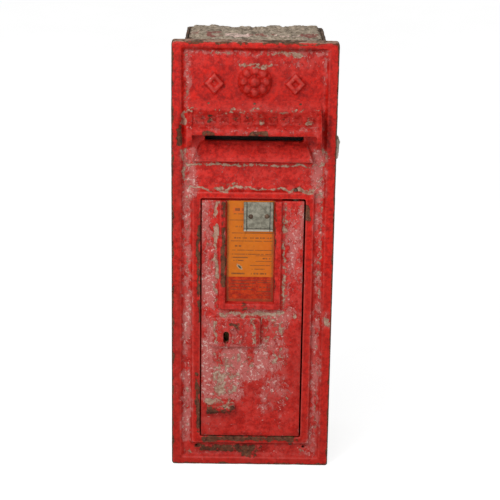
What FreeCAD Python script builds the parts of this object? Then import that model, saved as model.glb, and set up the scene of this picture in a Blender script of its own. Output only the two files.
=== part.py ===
"""Cast-iron wall letter box: front casting, hood, rear casing, hinged door and lever lock.

Millimetres, +Z up, the front looks along -Y, +X is to the viewer's right. The sub-parts are drawn
with y = 0 on the front plane of the border; FRAME_SHIFT then puts the origin at the middle of the
footprint, on the surface that the box stands on.
"""
import FreeCAD, Part

import math
import os

V = FreeCAD.Vector
os.makedirs("parts", exist_ok=True)

# ---- driving dimensions -------------------------------------------------------------------------
HALF_W = 127.0            # front casting, half width
HEIGHT = 694.4            # front casting, full height
RIM_DEPTH = 25.0          # front casting, depth of the turned-back rim
RIM_WALL = 9.5            # thickness of that rim
BAND = 15.0               # width of the raised border band
RECESS_TOP = HEIGHT - 9.0 # upper edge of the recess inside the border
RECESS_SLOPE = 5.0        # width of the slope from the border down to the panel
PANEL_Y = 6.0             # panel face, behind the border face
PANEL_BACK_Y = 14.0       # rear face of the panel
HOOD_REACH = 35.0         # how far the hood stands in front of the border face
HOOD_HALF_W = 102.0
HOOD_SEAT_Y = PANEL_Y     # the hood's flange lies on the panel
HOOD_SCREW_X = (-70.0, 0.0, 70.0)
HOOD_SCREW_Z = 598.0
CHEEK_W = 8.0             # end brackets of the hood
BILLETS = 10              # raised billets on the hood, and their spacing and size
BILLET_PITCH = 18.6
BILLET_W = 12.5
BILLET_H = 13.0
BILLET_RISE = 1.9
ROSETTE = (0.0, 634.0)    # ornament over the hood: a rosette between two lozenges
ROSETTE_R = 25.0
LOZENGE_X = 61.5
LOZENGE_Z = 630.5
WEEP_HOLES = ((-87.4, 31.2), (86.8, 30.8))
WEEP_R = 2.4
CASING_DEPTH = 178.0      # rear casing, behind the rim
CASING_HALF_W = 110.0
CASING_TOP = HEIGHT - 10.0
CASING_BOTTOM = 10.0
CASING_WALL = 5.0
BACK_T = 6.0              # back plate thickness
BACK_Y = RIM_DEPTH + CASING_DEPTH
CASING_LUG_X = 94.0       # bolts through the lugs of front casting, casing and back plate
CASING_LUG_Z = (27.0, 347.2, 667.4)
LUG_Y = ((PANEL_BACK_Y, PANEL_BACK_Y + 10.0), (BACK_Y - BACK_T - 12.0, BACK_Y - BACK_T))
PLATE_SCREW_Y = tuple((y0 + y1) / 2 for y0, y1 in LUG_Y)
PLATE_SCREW_Z = ((CASING_BOTTOM, CASING_BOTTOM + 12.0), (CASING_TOP - 12.0, CASING_TOP))
TIE_Z = 525.0             # wall ties
TIE_T = 4.0
TIE_RIVET_Y = (50.0, 74.0)

SLOT_HALF_W = 75.5        # letter aperture
SLOT_LOW = 541.0
SLOT_HIGH = 572.0
BAFFLE_T = 1.6            # sheet behind the aperture
BAFFLE_SCREW = (60.0, 612.0)

SURROUND_HALF_W = 94.8    # raised band round the door
SURROUND_LOW = 38.3
SURROUND_HIGH = 461.5
DOORWAY_HALF_W = 81.5
DOORWAY_LOW = 49.8
DOORWAY_HIGH = 450.5
REBATE = 6.0              # lip that the door shuts against

DOOR_LEFT = -79.7
DOOR_RIGHT = 79.5
DOOR_LOW = 50.6
DOOR_HIGH = 447.0
DOOR_FACE_Y = 2.0
DOOR_BACK_Y = 10.0

HINGE_X = 65.5
HINGE_Y = 9.0
PIN_R = 4.0
RUNNING_GAP = 0.05        # radial clearance of every turning fit
KNUCKLE_R = 8.0
KNUCKLE_H = 18.0
FIXED_GAP = 0.2           # radial clearance round screws and rivets
WASHER_R = 7.5
WASHER_T = 1.6
WASHER_SEAT = 1.6         # depth of the washer's seat in the lower lug

WINDOW_LEFT = -40.0       # notice window in the door
WINDOW_RIGHT = 32.6
WINDOW_LOW = 281.8
MOULDING_W = 14.5         # width of the raised moulding round the window
MOULDING_Y = -4.0
NOTICE_Y = 4.5            # face of the notice plate
NOTICE_T = 2.0
NOTICE_LAP = 5.0          # how far the plate runs into its grooves
POCKET = (-14.5, 31.4, 398.0, 444.6)            # tablet pocket: left, right, low, high
POCKET_RIVETS = ((-3.5, 421.1), (21.7, 421.6))
POCKET_T = 1.0

BOSS_LEFT = -67.0         # lock boss on the door's face
BOSS_RIGHT = 14.6
BOSS_LOW = 206.3
BOSS_HIGH = 256.5
BOSS_Y = -3.0
KEYHOLE_X = -40.1
KEYHOLE_LOW = 211.6
KEYHOLE_HIGH = 232.0
KEYHOLE_R = 4.4
COVER_PIVOT = (-30.8, 238.7)
COVER_DISC = (-22.4, 221.1)
COVER_R = 9.0
COVER_T = 2.0
BOSS_RIVET = (4.6, 250.0)

LOCK_LEFT = -72.0         # lever lock behind the door
LOCK_RIGHT = -6.0
LOCK_LOW = 198.0
LOCK_HIGH = 262.0
LOCK_DEPTH = 22.0
LOCK_WALL = 2.5
LOCK_FRONT_Y = DOOR_BACK_Y
LOCK_BACK_Y = LOCK_FRONT_Y + LOCK_DEPTH
LOCK_SCREWS = tuple((x, z) for x in (LOCK_LEFT + 5.5, LOCK_RIGHT - 5.5)
                    for z in (LOCK_LOW + 5.5, LOCK_HIGH - 5.0))
COVER_PLATE_T = 2.0
KEEP_SCREW_X = -90.0
KEEP_SCREW_Z = (222.0, 264.0)
BOLT_LOW = 235.0
BOLT_HIGH = 250.0
BOLT_LEAD = 0.6           # bolt end stands this far out of the case when drawn back
BOLT_Y = (LOCK_FRONT_Y + 7.5, LOCK_FRONT_Y + 11.5)     # tail plate of the bolt
HEAD_Y = (LOCK_FRONT_Y + 7.5, LOCK_FRONT_Y + 17.5)     # head of the bolt
LEVER_POST = (-15.0, 243.0)
LEVER_Y = BOLT_Y[1] + 0.5
LEVER_COUNT = 3
LEVER_T = 1.6
LEVER_PITCH = 2.2

WALL_HOLE_X = 70.0        # wall fixing holes, half spacings
WALL_HOLE_Z = 240.0
WALL_HOLE_R = 6.5

FRAME_SHIFT = V(0, -(BACK_Y - HOOD_REACH) / 2, 0)


# ---- helpers ------------------------------------------------------------------------------------
def block(x0, x1, y0, y1, z0, z1):
    """A rectangular block between opposite corners."""
    return Part.makeBox(x1 - x0, y1 - y0, z1 - z0, V(x0, y0, z0))


def rod_y(x, z, r, y0, y1):
    """A round bar along Y."""
    return Part.makeCylinder(r, y1 - y0, V(x, y0, z), V(0, 1, 0))


def rod_x(y, z, r, x0, x1):
    """A round bar along X."""
    return Part.makeCylinder(r, x1 - x0, V(x0, y, z), V(1, 0, 0))


def rod_z(x, y, r, z0, z1):
    """A round bar along Z."""
    return Part.makeCylinder(r, z1 - z0, V(x, y, z0), V(0, 0, 1))


def loop(points):
    """A closed wire through the points."""
    return Part.makePolygon([V(*p) for p in points] + [V(*points[0])])


def plate(points_xz, y0, y1):
    """A flat plate with an outline in X and Z, from y0 to y1."""
    face = Part.Face(loop([(x, y0, z) for x, z in points_xz]))
    return face.extrude(V(0, y1 - y0, 0))


def bar_x(points_yz, x0, x1):
    """A bar along X with a section in Y and Z."""
    face = Part.Face(loop([(x0, y, z) for y, z in points_yz]))
    return face.extrude(V(x1 - x0, 0, 0))


def taper(outline_a, y_a, outline_b, y_b):
    """A ruled solid between two outlines with the same number of corners."""
    wires = [loop([(x, y, z) for x, z in line]) for line, y in ((outline_a, y_a), (outline_b, y_b))]
    return Part.makeLoft(wires, True, True)


def rect(x0, x1, z0, z1):
    """The corners of an upright rectangle."""
    return [(x0, z0), (x1, z0), (x1, z1), (x0, z1)]


def rounded(shape, radius, keep):
    """Fillets the edges whose centre passes the test."""
    edges = [e for e in shape.Edges if keep(e)]
    return shape.makeFillet(radius, edges)


def along(edge, axis):
    """True for a straight edge along the named axis."""
    a, b = edge.Vertexes[0].Point, edge.Vertexes[-1].Point
    d = b - a
    parts = {"x": abs(d.x), "y": abs(d.y), "z": abs(d.z)}
    return parts.pop(axis) > 0.5 and max(parts.values()) < 1e-6


def dome(x, z, r, y_base, height):
    """A rivet head: a spherical cap that bulges towards the front."""
    ball_r = (r * r + height * height) / (2 * height)
    ball = Part.makeSphere(ball_r, V(x, y_base - height + ball_r, z))
    return ball.common(block(x - r, x + r, y_base - height, y_base, z - r, z + r))


def hexagon(x, z, across, y0, y1):
    """A hexagonal head or nut along Y."""
    r = across / math.sqrt(3)
    corners = [(x + r * math.cos(math.radians(60 * i)), z + r * math.sin(math.radians(60 * i)))
               for i in range(6)]
    return plate(corners, y0, y1)


def fuse(shapes):
    """One clean solid out of several."""
    return shapes[0].multiFuse(list(shapes[1:])).removeSplitter()


def cut(shape, tools):
    """The shape less every tool."""
    return shape.cut(Part.makeCompound(list(tools)))


def write(node, shapes):
    """Writes one node, one or more solids, in the row's frame."""
    shapes = shapes if isinstance(shapes, list) else [shapes]
    solids = [s for shape in shapes for s in shape.Solids]
    shape = solids[0] if len(solids) == 1 else Part.makeCompound(solids)
    shape = shape.copy()
    shape.translate(FRAME_SHIFT)
    if not shape.isValid():
        raise SystemExit(node + " is not a valid solid")
    shape.exportStep("parts/" + node + ".step")
    print(f"{node:20s} solids {len(solids):2d}  volume {shape.Volume / 1000:9.2f} cm3")


# ---- front casting ------------------------------------------------------------------------------
def ornament(x, z):
    """A plain round rosette: a low disc with eight petals and a domed centre."""
    petal_ring, petal_r, petal_rise, centre_r, centre_rise = 16.5, 7.5, 6.5, 9.5, 9.4
    seat = PANEL_Y - 3.0
    shapes = [rod_y(x, z, ROSETTE_R, seat - 0.5, PANEL_Y + 1.0)]
    for i in range(8):
        turn = math.radians(45 * i)
        shapes.append(dome(x + petal_ring * math.cos(turn), z + petal_ring * math.sin(turn),
                           petal_r, seat, petal_rise))
    shapes.append(dome(x, z, centre_r, seat, centre_rise))
    return shapes


def diamond(x, z, half_w, half_h):
    """The corners of an upright diamond."""
    return [(x - half_w, z), (x, z - half_h), (x + half_w, z), (x, z + half_h)]


def lozenge(x, z):
    """A plain raised lozenge with sloping sides and a sunk middle."""
    rise, floor = 5.0, 1.2
    body = taper(diamond(x, z, 16.5, 18.0), PANEL_Y + 1.0, diamond(x, z, 13.5, 15.0), PANEL_Y - rise)
    sunk = taper(diamond(x, z, 4.5, 5.0), PANEL_Y - floor, diamond(x, z, 7.0, 7.6), PANEL_Y - rise - 0.1)
    return body.cut(sunk)


def letter_slide():
    """The sloping sill under the aperture, with mitred ends."""
    root = [(-97, 507.5), (97, 507.5), (79, 544.0), (-79, 544.0)]
    nose = [(-90.5, 511.0), (90.5, 511.0), (88.0, 516.5), (-88.0, 516.5)]
    return taper(root, PANEL_Y + 1.0, nose, -8.0)


def reeded_strip():
    """A low reeded strip under the doorway."""
    count, pitch, width = 11, 9.6, 6.0
    start = -83.0
    return [block(start + i * pitch, start + i * pitch + width, PANEL_Y - 1.6, PANEL_Y + 1.0,
                  23.6, 31.3) for i in range(count)]


def rebate_strips():
    """Strips that thicken the panel behind the doorway at the left, the top and the bottom."""
    y0, y1 = PANEL_BACK_Y - 1.0, PANEL_BACK_Y + 2.0
    x0, x1 = -DOORWAY_HALF_W - 4.0, HINGE_X - 20.0
    return [block(x0, -DOORWAY_HALF_W + REBATE, y0, y1, DOORWAY_LOW - 4, DOORWAY_HIGH + 4),
            block(x0, x1, y0, y1, DOORWAY_LOW - 4, DOORWAY_LOW + REBATE),
            block(x0, x1, y0, y1, DOORWAY_HIGH - REBATE, DOORWAY_HIGH + 4)]


def doorway_tools():
    """The doorway: full size in front, narrower behind except on the hinge side."""
    step = DOOR_BACK_Y + 1.0
    back = HINGE_Y + 13.0
    stop = HINGE_X - 20.0
    return [block(-DOORWAY_HALF_W, DOORWAY_HALF_W, -3.0, step, DOORWAY_LOW, DOORWAY_HIGH),
            block(-DOORWAY_HALF_W + REBATE, DOORWAY_HALF_W, step - 2.0, back, DOORWAY_LOW + REBATE,
                  DOORWAY_HIGH - REBATE),
            block(stop, DOORWAY_HALF_W, step - 2.0, back, DOORWAY_LOW, DOORWAY_HIGH)]


def hinge_lugs():
    """Lugs behind the doorway's corners that hold the hinge pins."""
    x0, x1 = HINGE_X - 11.0, HINGE_X + 11.0
    y0, y1 = PANEL_Y + 2.0, HINGE_Y + 11.0
    return [block(x0, x1, y0, y1, DOORWAY_HIGH - 2.0, DOORWAY_HIGH + 22.0),
            block(x0, x1, y0, y1, DOORWAY_LOW - 22.0, DOORWAY_LOW + 2.0)]


def front_frame():
    """The front casting: border, rim, panel, slide, door surround and ornament."""
    body = block(-HALF_W, HALF_W, 0, RIM_DEPTH, 0, HEIGHT)
    body = rounded(body, 4.0, lambda e: along(e, "y"))
    body = rounded(body, 2.5, lambda e: e.CenterOfMass.y < 0.01)
    inner_x = HALF_W - BAND
    low = BAND - 2.0
    face = rect(-inner_x, inner_x, low, RECESS_TOP)
    floor = rect(-inner_x + RECESS_SLOPE, inner_x - RECESS_SLOPE, low + RECESS_SLOPE,
                 RECESS_TOP - RECESS_SLOPE)
    recess = taper(face, -0.01, floor, PANEL_Y)
    pocket = block(-HALF_W + RIM_WALL, HALF_W - RIM_WALL, PANEL_BACK_Y, RIM_DEPTH + 1, RIM_WALL,
                   HEIGHT - RIM_WALL)
    body = cut(body, [recess, pocket])
    surround = taper(rect(-SURROUND_HALF_W - 2, SURROUND_HALF_W + 2, SURROUND_LOW - 2,
                          SURROUND_HIGH + 2), PANEL_Y + 1.0,
                     rect(-SURROUND_HALF_W + 1, SURROUND_HALF_W - 1, SURROUND_LOW + 1,
                          SURROUND_HIGH - 1), 0.0)
    raised = [body, surround, letter_slide(), lozenge(-LOZENGE_X, LOZENGE_Z),
              lozenge(LOZENGE_X, LOZENGE_Z)]
    raised += ornament(*ROSETTE)
    raised += reeded_strip() + rebate_strips() + hinge_lugs()
    body = fuse(raised)
    slot = block(-SLOT_HALF_W, SLOT_HALF_W, -10, PANEL_BACK_Y + 1, SLOT_LOW, SLOT_HIGH)
    for tool in doorway_tools() + [slot]:
        body = body.cut(tool)
    tapped = [rod_y(side * CASING_LUG_X, z, 3.0 + FIXED_GAP, PANEL_BACK_Y - 7.0, PANEL_BACK_Y + 1)
              for side in (-1, 1) for z in CASING_LUG_Z]
    tapped += [rod_y(x, HOOD_SCREW_Z, 2.5 + FIXED_GAP, PANEL_Y - 4, PANEL_BACK_Y + 1)
               for x in HOOD_SCREW_X]
    tapped += [rod_y(side * BAFFLE_SCREW[0], BAFFLE_SCREW[1], 2.0 + FIXED_GAP, PANEL_BACK_Y - 5,
                     PANEL_BACK_Y + 1) for side in (-1, 1)]
    tapped += [rod_y(KEEP_SCREW_X, z, 2.0 + FIXED_GAP, PANEL_BACK_Y - 5, PANEL_BACK_Y + 1)
               for z in KEEP_SCREW_Z]
    weep_holes = [rod_y(x, z, WEEP_R, PANEL_Y - 5, PANEL_BACK_Y + 1) for x, z in WEEP_HOLES]
    pins = [rod_z(HINGE_X, HINGE_Y, PIN_R + 0.02, DOORWAY_HIGH - 1, DOORWAY_HIGH + 16.0),
            rod_z(HINGE_X, HINGE_Y, PIN_R + 0.02, DOORWAY_LOW - 16.0, DOORWAY_LOW + 1),
            rod_z(HINGE_X, HINGE_Y, WASHER_R + 0.3, DOORWAY_LOW - WASHER_SEAT, DOORWAY_LOW + 1)]
    return cut(body, tapped + weep_holes + pins)


# ---- hood ---------------------------------------------------------------------------------------
def aperture_hood():
    """The sloping rain hood with its two end brackets and a row of plain raised billets."""
    lip_y = -HOOD_REACH + 1.5
    roof_section = [(HOOD_SEAT_Y, 604.0), (HOOD_SEAT_Y - 5, 589.0), (lip_y + 2.0, 567.5),
                    (lip_y, 564.0), (lip_y, 558.0), (lip_y + 4.0, 556.5), (lip_y + 6.0, 560.0),
                    (HOOD_SEAT_Y, 579.0)]
    roof = bar_x(roof_section, -HOOD_HALF_W, HOOD_HALF_W)
    cheek_section = [(HOOD_SEAT_Y, 592.5), (1.0, 591.8), (-HOOD_REACH + 3.0, 570.5),
                     (-HOOD_REACH, 566.5), (-HOOD_REACH + 1.0, 548.0), (-30.0, 539.0),
                     (-25.0, 536.5), (-20.0, 539.0), (HOOD_SEAT_Y, 552.0)]
    cheeks = [bar_x(cheek_section, *sorted((side * HOOD_HALF_W, side * (HOOD_HALF_W - CHEEK_W))))
              for side in (-1, 1)]
    slope = math.atan2(589.0 - 567.5, 1.0 - lip_y - 2.0)
    billets = []
    for i in range(BILLETS):
        x = (i - (BILLETS - 1) / 2) * BILLET_PITCH
        billet = block(x - BILLET_W / 2, x + BILLET_W / 2, 0, BILLET_H, -2.0, BILLET_RISE)
        billet.rotate(V(0, 0, 0), V(1, 0, 0), math.degrees(slope))
        billet.translate(V(0, -22.0, 573.9))
        billets.append(billet)
    hood = fuse([roof] + cheeks + billets)
    holes = [rod_y(x, HOOD_SCREW_Z, 2.5 + FIXED_GAP, HOOD_SEAT_Y - 1.6, HOOD_SEAT_Y + 1)
             for x in HOOD_SCREW_X]
    return cut(hood, holes)


def cheese_screw(x, z, shank_r, y_tip, y_seat, head_r, head_t, slot_w=1.2):
    """A slotted cheese-head screw along Y, its head towards the inside of the box."""
    screw = fuse([rod_y(x, z, shank_r, y_tip, y_seat), rod_y(x, z, head_r, y_seat, y_seat + head_t)])
    groove = block(x - head_r - 1, x + head_r + 1, y_seat + head_t * 0.55, y_seat + head_t + 1,
                   z - slot_w / 2, z + slot_w / 2)
    return screw.cut(groove)


def hood_screws():
    """Screws that hold the hood, driven from inside the box."""
    return [cheese_screw(x, HOOD_SCREW_Z, 2.5, HOOD_SEAT_Y - 1.4, PANEL_BACK_Y, 4.6, 3.2)
            for x in HOOD_SCREW_X]


# ---- rear casing --------------------------------------------------------------------------------
def lug_places():
    """Where the casing's inner lugs stand, as (side, z)."""
    return [(side, z) for side in (-1, 1) for z in CASING_LUG_Z]


def casing_lug(side, z, y0, y1):
    """A square lug inside the casing's side wall."""
    inner = CASING_HALF_W - CASING_WALL
    xs = sorted((side * (inner + 1), side * 87.0))
    return block(xs[0], xs[1], y0, y1, z - 12, z + 12)


def casing_side(side):
    """One side plate of the casing with its six inner lugs."""
    near, far = sorted((side * (CASING_HALF_W - CASING_WALL), side * CASING_HALF_W))
    wall = block(near, far, PANEL_BACK_Y, BACK_Y - BACK_T, CASING_BOTTOM, CASING_TOP)
    lugs = [casing_lug(side, z, y0, y1) for z in CASING_LUG_Z for y0, y1 in LUG_Y]
    x = side * CASING_LUG_X
    holes = [rod_y(x, z, 3.0 + FIXED_GAP, PANEL_BACK_Y - 1, BACK_Y) for z in CASING_LUG_Z]
    holes += [rod_x(y, TIE_Z, 3.0 + FIXED_GAP, side * CASING_HALF_W - 8, side * CASING_HALF_W + 8)
              for y in TIE_RIVET_Y]
    holes += [rod_z(x, y, 2.5 + FIXED_GAP, z0, z1) for y in PLATE_SCREW_Y
              for z0, z1 in PLATE_SCREW_Z]
    return cut(fuse([wall] + lugs), holes)


def end_plate(z0, z1, z_outer):
    """The casing's top or bottom plate, countersunk on its outer face."""
    inner = CASING_HALF_W - CASING_WALL
    sheet = block(-inner, inner, PANEL_BACK_Y, BACK_Y - BACK_T, z0, z1)
    up = 1 if z_outer > z0 else -1
    tools = []
    for side, y in plate_screw_places():
        x = side * CASING_LUG_X
        tools.append(rod_z(x, y, 2.5 + FIXED_GAP, z0 - 1, z1 + 1))
        tools.append(Part.makeCone(2.5 + FIXED_GAP, 5.0 + FIXED_GAP, 2.6,
                                   V(x, y, z_outer - up * 2.6), V(0, 0, up)))
    return cut(sheet, tools)


def casing_top():
    """The top plate of the casing."""
    return end_plate(CASING_TOP - CASING_WALL, CASING_TOP, CASING_TOP)


def casing_bottom():
    """The bottom plate of the casing on two rest bars."""
    sheet = end_plate(CASING_BOTTOM, CASING_BOTTOM + CASING_WALL, CASING_BOTTOM)
    rest_bars = [block(x - 9, x + 9, RIM_DEPTH + 8, BACK_Y - BACK_T - 8, 0, CASING_BOTTOM + 1)
                 for x in (-70.0, 70.0)]
    return fuse([sheet] + rest_bars)


def plate_screw_places():
    """Where the end plates are screwed to the lugs, as (side, y)."""
    return [(side, y) for side in (-1, 1) for y in PLATE_SCREW_Y]


def plate_screws():
    """Countersunk screws through the top and bottom plates into the lugs."""
    screws = []
    for outer, up in ((CASING_TOP, 1), (CASING_BOTTOM, -1)):
        for side, y in plate_screw_places():
            x = side * CASING_LUG_X
            neck = outer - up * 2.5
            z0, z1 = sorted((outer - up * 11.5, neck))
            head = Part.makeCone(2.5, 5.0, 2.4, V(x, y, neck), V(0, 0, up))
            screw = fuse([rod_z(x, y, 2.5, z0, z1), head])
            groove = sorted((outer - up * 1.3, outer + up))
            screws.append(screw.cut(block(x - 6, x + 6, y - 0.6, y + 0.6, *groove)))
    return screws


def casing_bolts():
    """Hexagon bolts through the front lugs into the front casting."""
    seat = PANEL_BACK_Y + 10
    return [fuse([rod_y(side * CASING_LUG_X, z, 3.0, PANEL_BACK_Y - 6.0, seat),
                  hexagon(side * CASING_LUG_X, z, 10.0, seat, seat + 4.5)])
            for side, z in lug_places()]


def back_plate():
    """The flat back with its wall-fixing holes."""
    sheet = block(-CASING_HALF_W, CASING_HALF_W, BACK_Y - BACK_T, BACK_Y, CASING_BOTTOM, CASING_TOP)
    sheet = rounded(sheet, 3.0, lambda e: along(e, "y"))
    mid = (CASING_TOP + CASING_BOTTOM) / 2
    holes = [rod_y(sx * WALL_HOLE_X, mid + sz * WALL_HOLE_Z, WALL_HOLE_R, BACK_Y - BACK_T - 1,
                   BACK_Y + 1) for sx in (-1, 1) for sz in (-1, 1)]
    for side, z in lug_places():
        holes.append(rod_y(side * CASING_LUG_X, z, 3.0 + FIXED_GAP, BACK_Y - BACK_T - 1,
                           BACK_Y + 1))
        holes.append(Part.makeCone(3.0 + FIXED_GAP, 6.0 + FIXED_GAP, 3.0,
                                   V(side * CASING_LUG_X, BACK_Y - 3.0, z), V(0, 1, 0)))
    return cut(sheet, holes)


def back_screws():
    """Countersunk screws that hold the back plate."""
    screws = []
    for side, z in lug_places():
        x = side * CASING_LUG_X
        head = Part.makeCone(3.0, 6.0, 2.8, V(x, BACK_Y - 2.9, z), V(0, 1, 0))
        screw = fuse([rod_y(x, z, 3.0, BACK_Y - BACK_T - 11, BACK_Y - 2.9), head])
        screws.append(screw.cut(block(x - 7, x + 7, BACK_Y - 1.3, BACK_Y + 1, z - 0.7, z + 0.7)))
    return screws


def wall_ties():
    """Bent iron ties on both sides that are built into the wall."""
    ties = []
    for side in (-1, 1):
        near, far = side * CASING_HALF_W, side * (CASING_HALF_W + TIE_T)
        out = side * (HALF_W - 1.0)
        flat = block(min(near, far), max(near, far), 34.0, 86.0, TIE_Z - 14, TIE_Z + 14)
        horn = block(min(near, out), max(near, out), 34.0, 39.0, TIE_Z - 14, TIE_Z + 14)
        tie = fuse([flat, horn])
        tie = rounded(tie, 6.0, lambda e: along(e, "x") and e.CenterOfMass.y > 80)
        holes = [rod_x(y, TIE_Z, 3.0 + FIXED_GAP, side * CASING_HALF_W - 8,
                       side * CASING_HALF_W + 8) for y in TIE_RIVET_Y]
        ties.append(cut(tie, holes))
    return ties


def tie_rivets():
    """Snap-head rivets through the ties and the casing's sides."""
    rivets = []
    for side in (-1, 1):
        for y in TIE_RIVET_Y:
            inner = side * (CASING_HALF_W - CASING_WALL)
            outer = side * (CASING_HALF_W + TIE_T)
            xs = sorted((inner - side * 2.0, outer + side * 2.5))
            shank = rod_x(y, TIE_Z, 3.0, *xs)
            heads = [rod_x(y, TIE_Z, 5.2, *sorted((outer, outer + side * 2.5))),
                     rod_x(y, TIE_Z, 5.2, *sorted((inner - side * 2.0, inner)))]
            rivet = fuse([shank] + heads)
            rivets.append(rounded(rivet, 1.4, lambda e: e.Curve.TypeId == "Part::GeomCircle"
                                  and abs(abs(e.CenterOfMass.x) - abs(outer) - 2.5) < 0.01))
    return rivets


# ---- letter baffle ------------------------------------------------------------------------------
def letter_baffle():
    """A bent sheet behind the aperture that turns letters down and keeps hands out."""
    line = [(PANEL_BACK_Y, 622.0), (PANEL_BACK_Y, 600.0), (58.0, 586.0), (66.0, 500.0)]
    inner = [(y + BAFFLE_T, z) for y, z in line[:1]]
    inner += [(PANEL_BACK_Y + BAFFLE_T, 601.6), (59.6, 587.4), (67.6, 500.0)]
    section = line + inner[::-1]
    sheet = bar_x(section, -88.0, 88.0)
    holes = [rod_y(side * BAFFLE_SCREW[0], BAFFLE_SCREW[1], 2.0 + FIXED_GAP, PANEL_BACK_Y - 1,
                   PANEL_BACK_Y + 4) for side in (-1, 1)]
    hood_clear = [rod_y(x, HOOD_SCREW_Z, 6.0, PANEL_BACK_Y - 1, PANEL_BACK_Y + 9) for x in HOOD_SCREW_X]
    return cut(sheet, holes + hood_clear)


def baffle_screws():
    """Screws that hold the letter baffle."""
    seat = PANEL_BACK_Y + BAFFLE_T
    return [cheese_screw(side * BAFFLE_SCREW[0], BAFFLE_SCREW[1], 2.0, PANEL_BACK_Y - 4, seat, 3.8,
                         2.6) for side in (-1, 1)]


# ---- hinges -------------------------------------------------------------------------------------
def hinge_pin(z0, z1):
    """A plain hinge pin with chamfered ends."""
    pin = rod_z(HINGE_X, HINGE_Y, PIN_R, z0, z1)
    return pin.makeChamfer(0.6, [e for e in pin.Edges if e.Curve.TypeId == "Part::GeomCircle"])


def hinge_washer():
    """The thrust washer that the door turns on."""
    z0 = DOORWAY_LOW - WASHER_SEAT
    ring = rod_z(HINGE_X, HINGE_Y, WASHER_R, z0, z0 + WASHER_T)
    return ring.cut(rod_z(HINGE_X, HINGE_Y, PIN_R + RUNNING_GAP, z0 - 1, z0 + WASHER_T + 1))


# ---- door ---------------------------------------------------------------------------------------
def window_moulding():
    """The raised moulding on three sides of the notice window, open at the door's top."""
    left, right = WINDOW_LEFT - MOULDING_W, WINDOW_RIGHT + MOULDING_W
    low = WINDOW_LOW - MOULDING_W
    base = rect(left, right, low, DOOR_HIGH)
    crown = rect(left + 3, right - 3, low + 3, DOOR_HIGH)
    return taper(base, DOOR_FACE_Y + 1, crown, MOULDING_Y)


def lock_boss():
    """The raised plate round the keyhole with sloping left and right borders."""
    base = plate(rect(BOSS_LEFT, BOSS_RIGHT, BOSS_LOW, BOSS_HIGH), BOSS_Y + 1.5, DOOR_FACE_Y + 1)
    base = rounded(base, 7.0, lambda e: along(e, "y"))
    border = plate(rect(BOSS_LEFT + 0.5, BOSS_RIGHT - 0.5, BOSS_LOW + 0.5, BOSS_HIGH - 0.5),
                   BOSS_Y - 0.6, BOSS_Y + 2)
    border = rounded(border, 7.0, lambda e: along(e, "y"))
    field = taper(rect(BOSS_LEFT + 12, BOSS_RIGHT - 10, BOSS_LOW - 4, BOSS_HIGH - 4), BOSS_Y - 1.0,
                  rect(BOSS_LEFT + 14, BOSS_RIGHT - 12, BOSS_LOW - 4, BOSS_HIGH - 6), BOSS_Y)
    return [base, border.cut(field)]


def finger_pull():
    """A ledge near the door's left edge with a rounded underside."""
    section = [(DOOR_FACE_Y + 1, 108.0), (-10.5, 107.0), (-12.0, 103.0), (-9.0, 97.0),
               (DOOR_FACE_Y + 1, 91.0)]
    ledge = bar_x(section, -70.0, -25.0)
    corner = rounded(block(-70.0, -25.0, -20, DOOR_FACE_Y + 1, 91.0, 120.0), 12.0,
                     lambda e: along(e, "y") and e.CenterOfMass.z < 100)
    return ledge.common(corner)


def keyhole(y0, y1):
    """The upright keyhole: a round-ended slot."""
    r = KEYHOLE_R
    lower, upper = KEYHOLE_LOW + r, KEYHOLE_HIGH - r
    return fuse([rod_y(KEYHOLE_X, lower, r, y0, y1), rod_y(KEYHOLE_X, upper, r, y0, y1),
                 block(KEYHOLE_X - r, KEYHOLE_X + r, y0, y1, lower, upper)])


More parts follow.
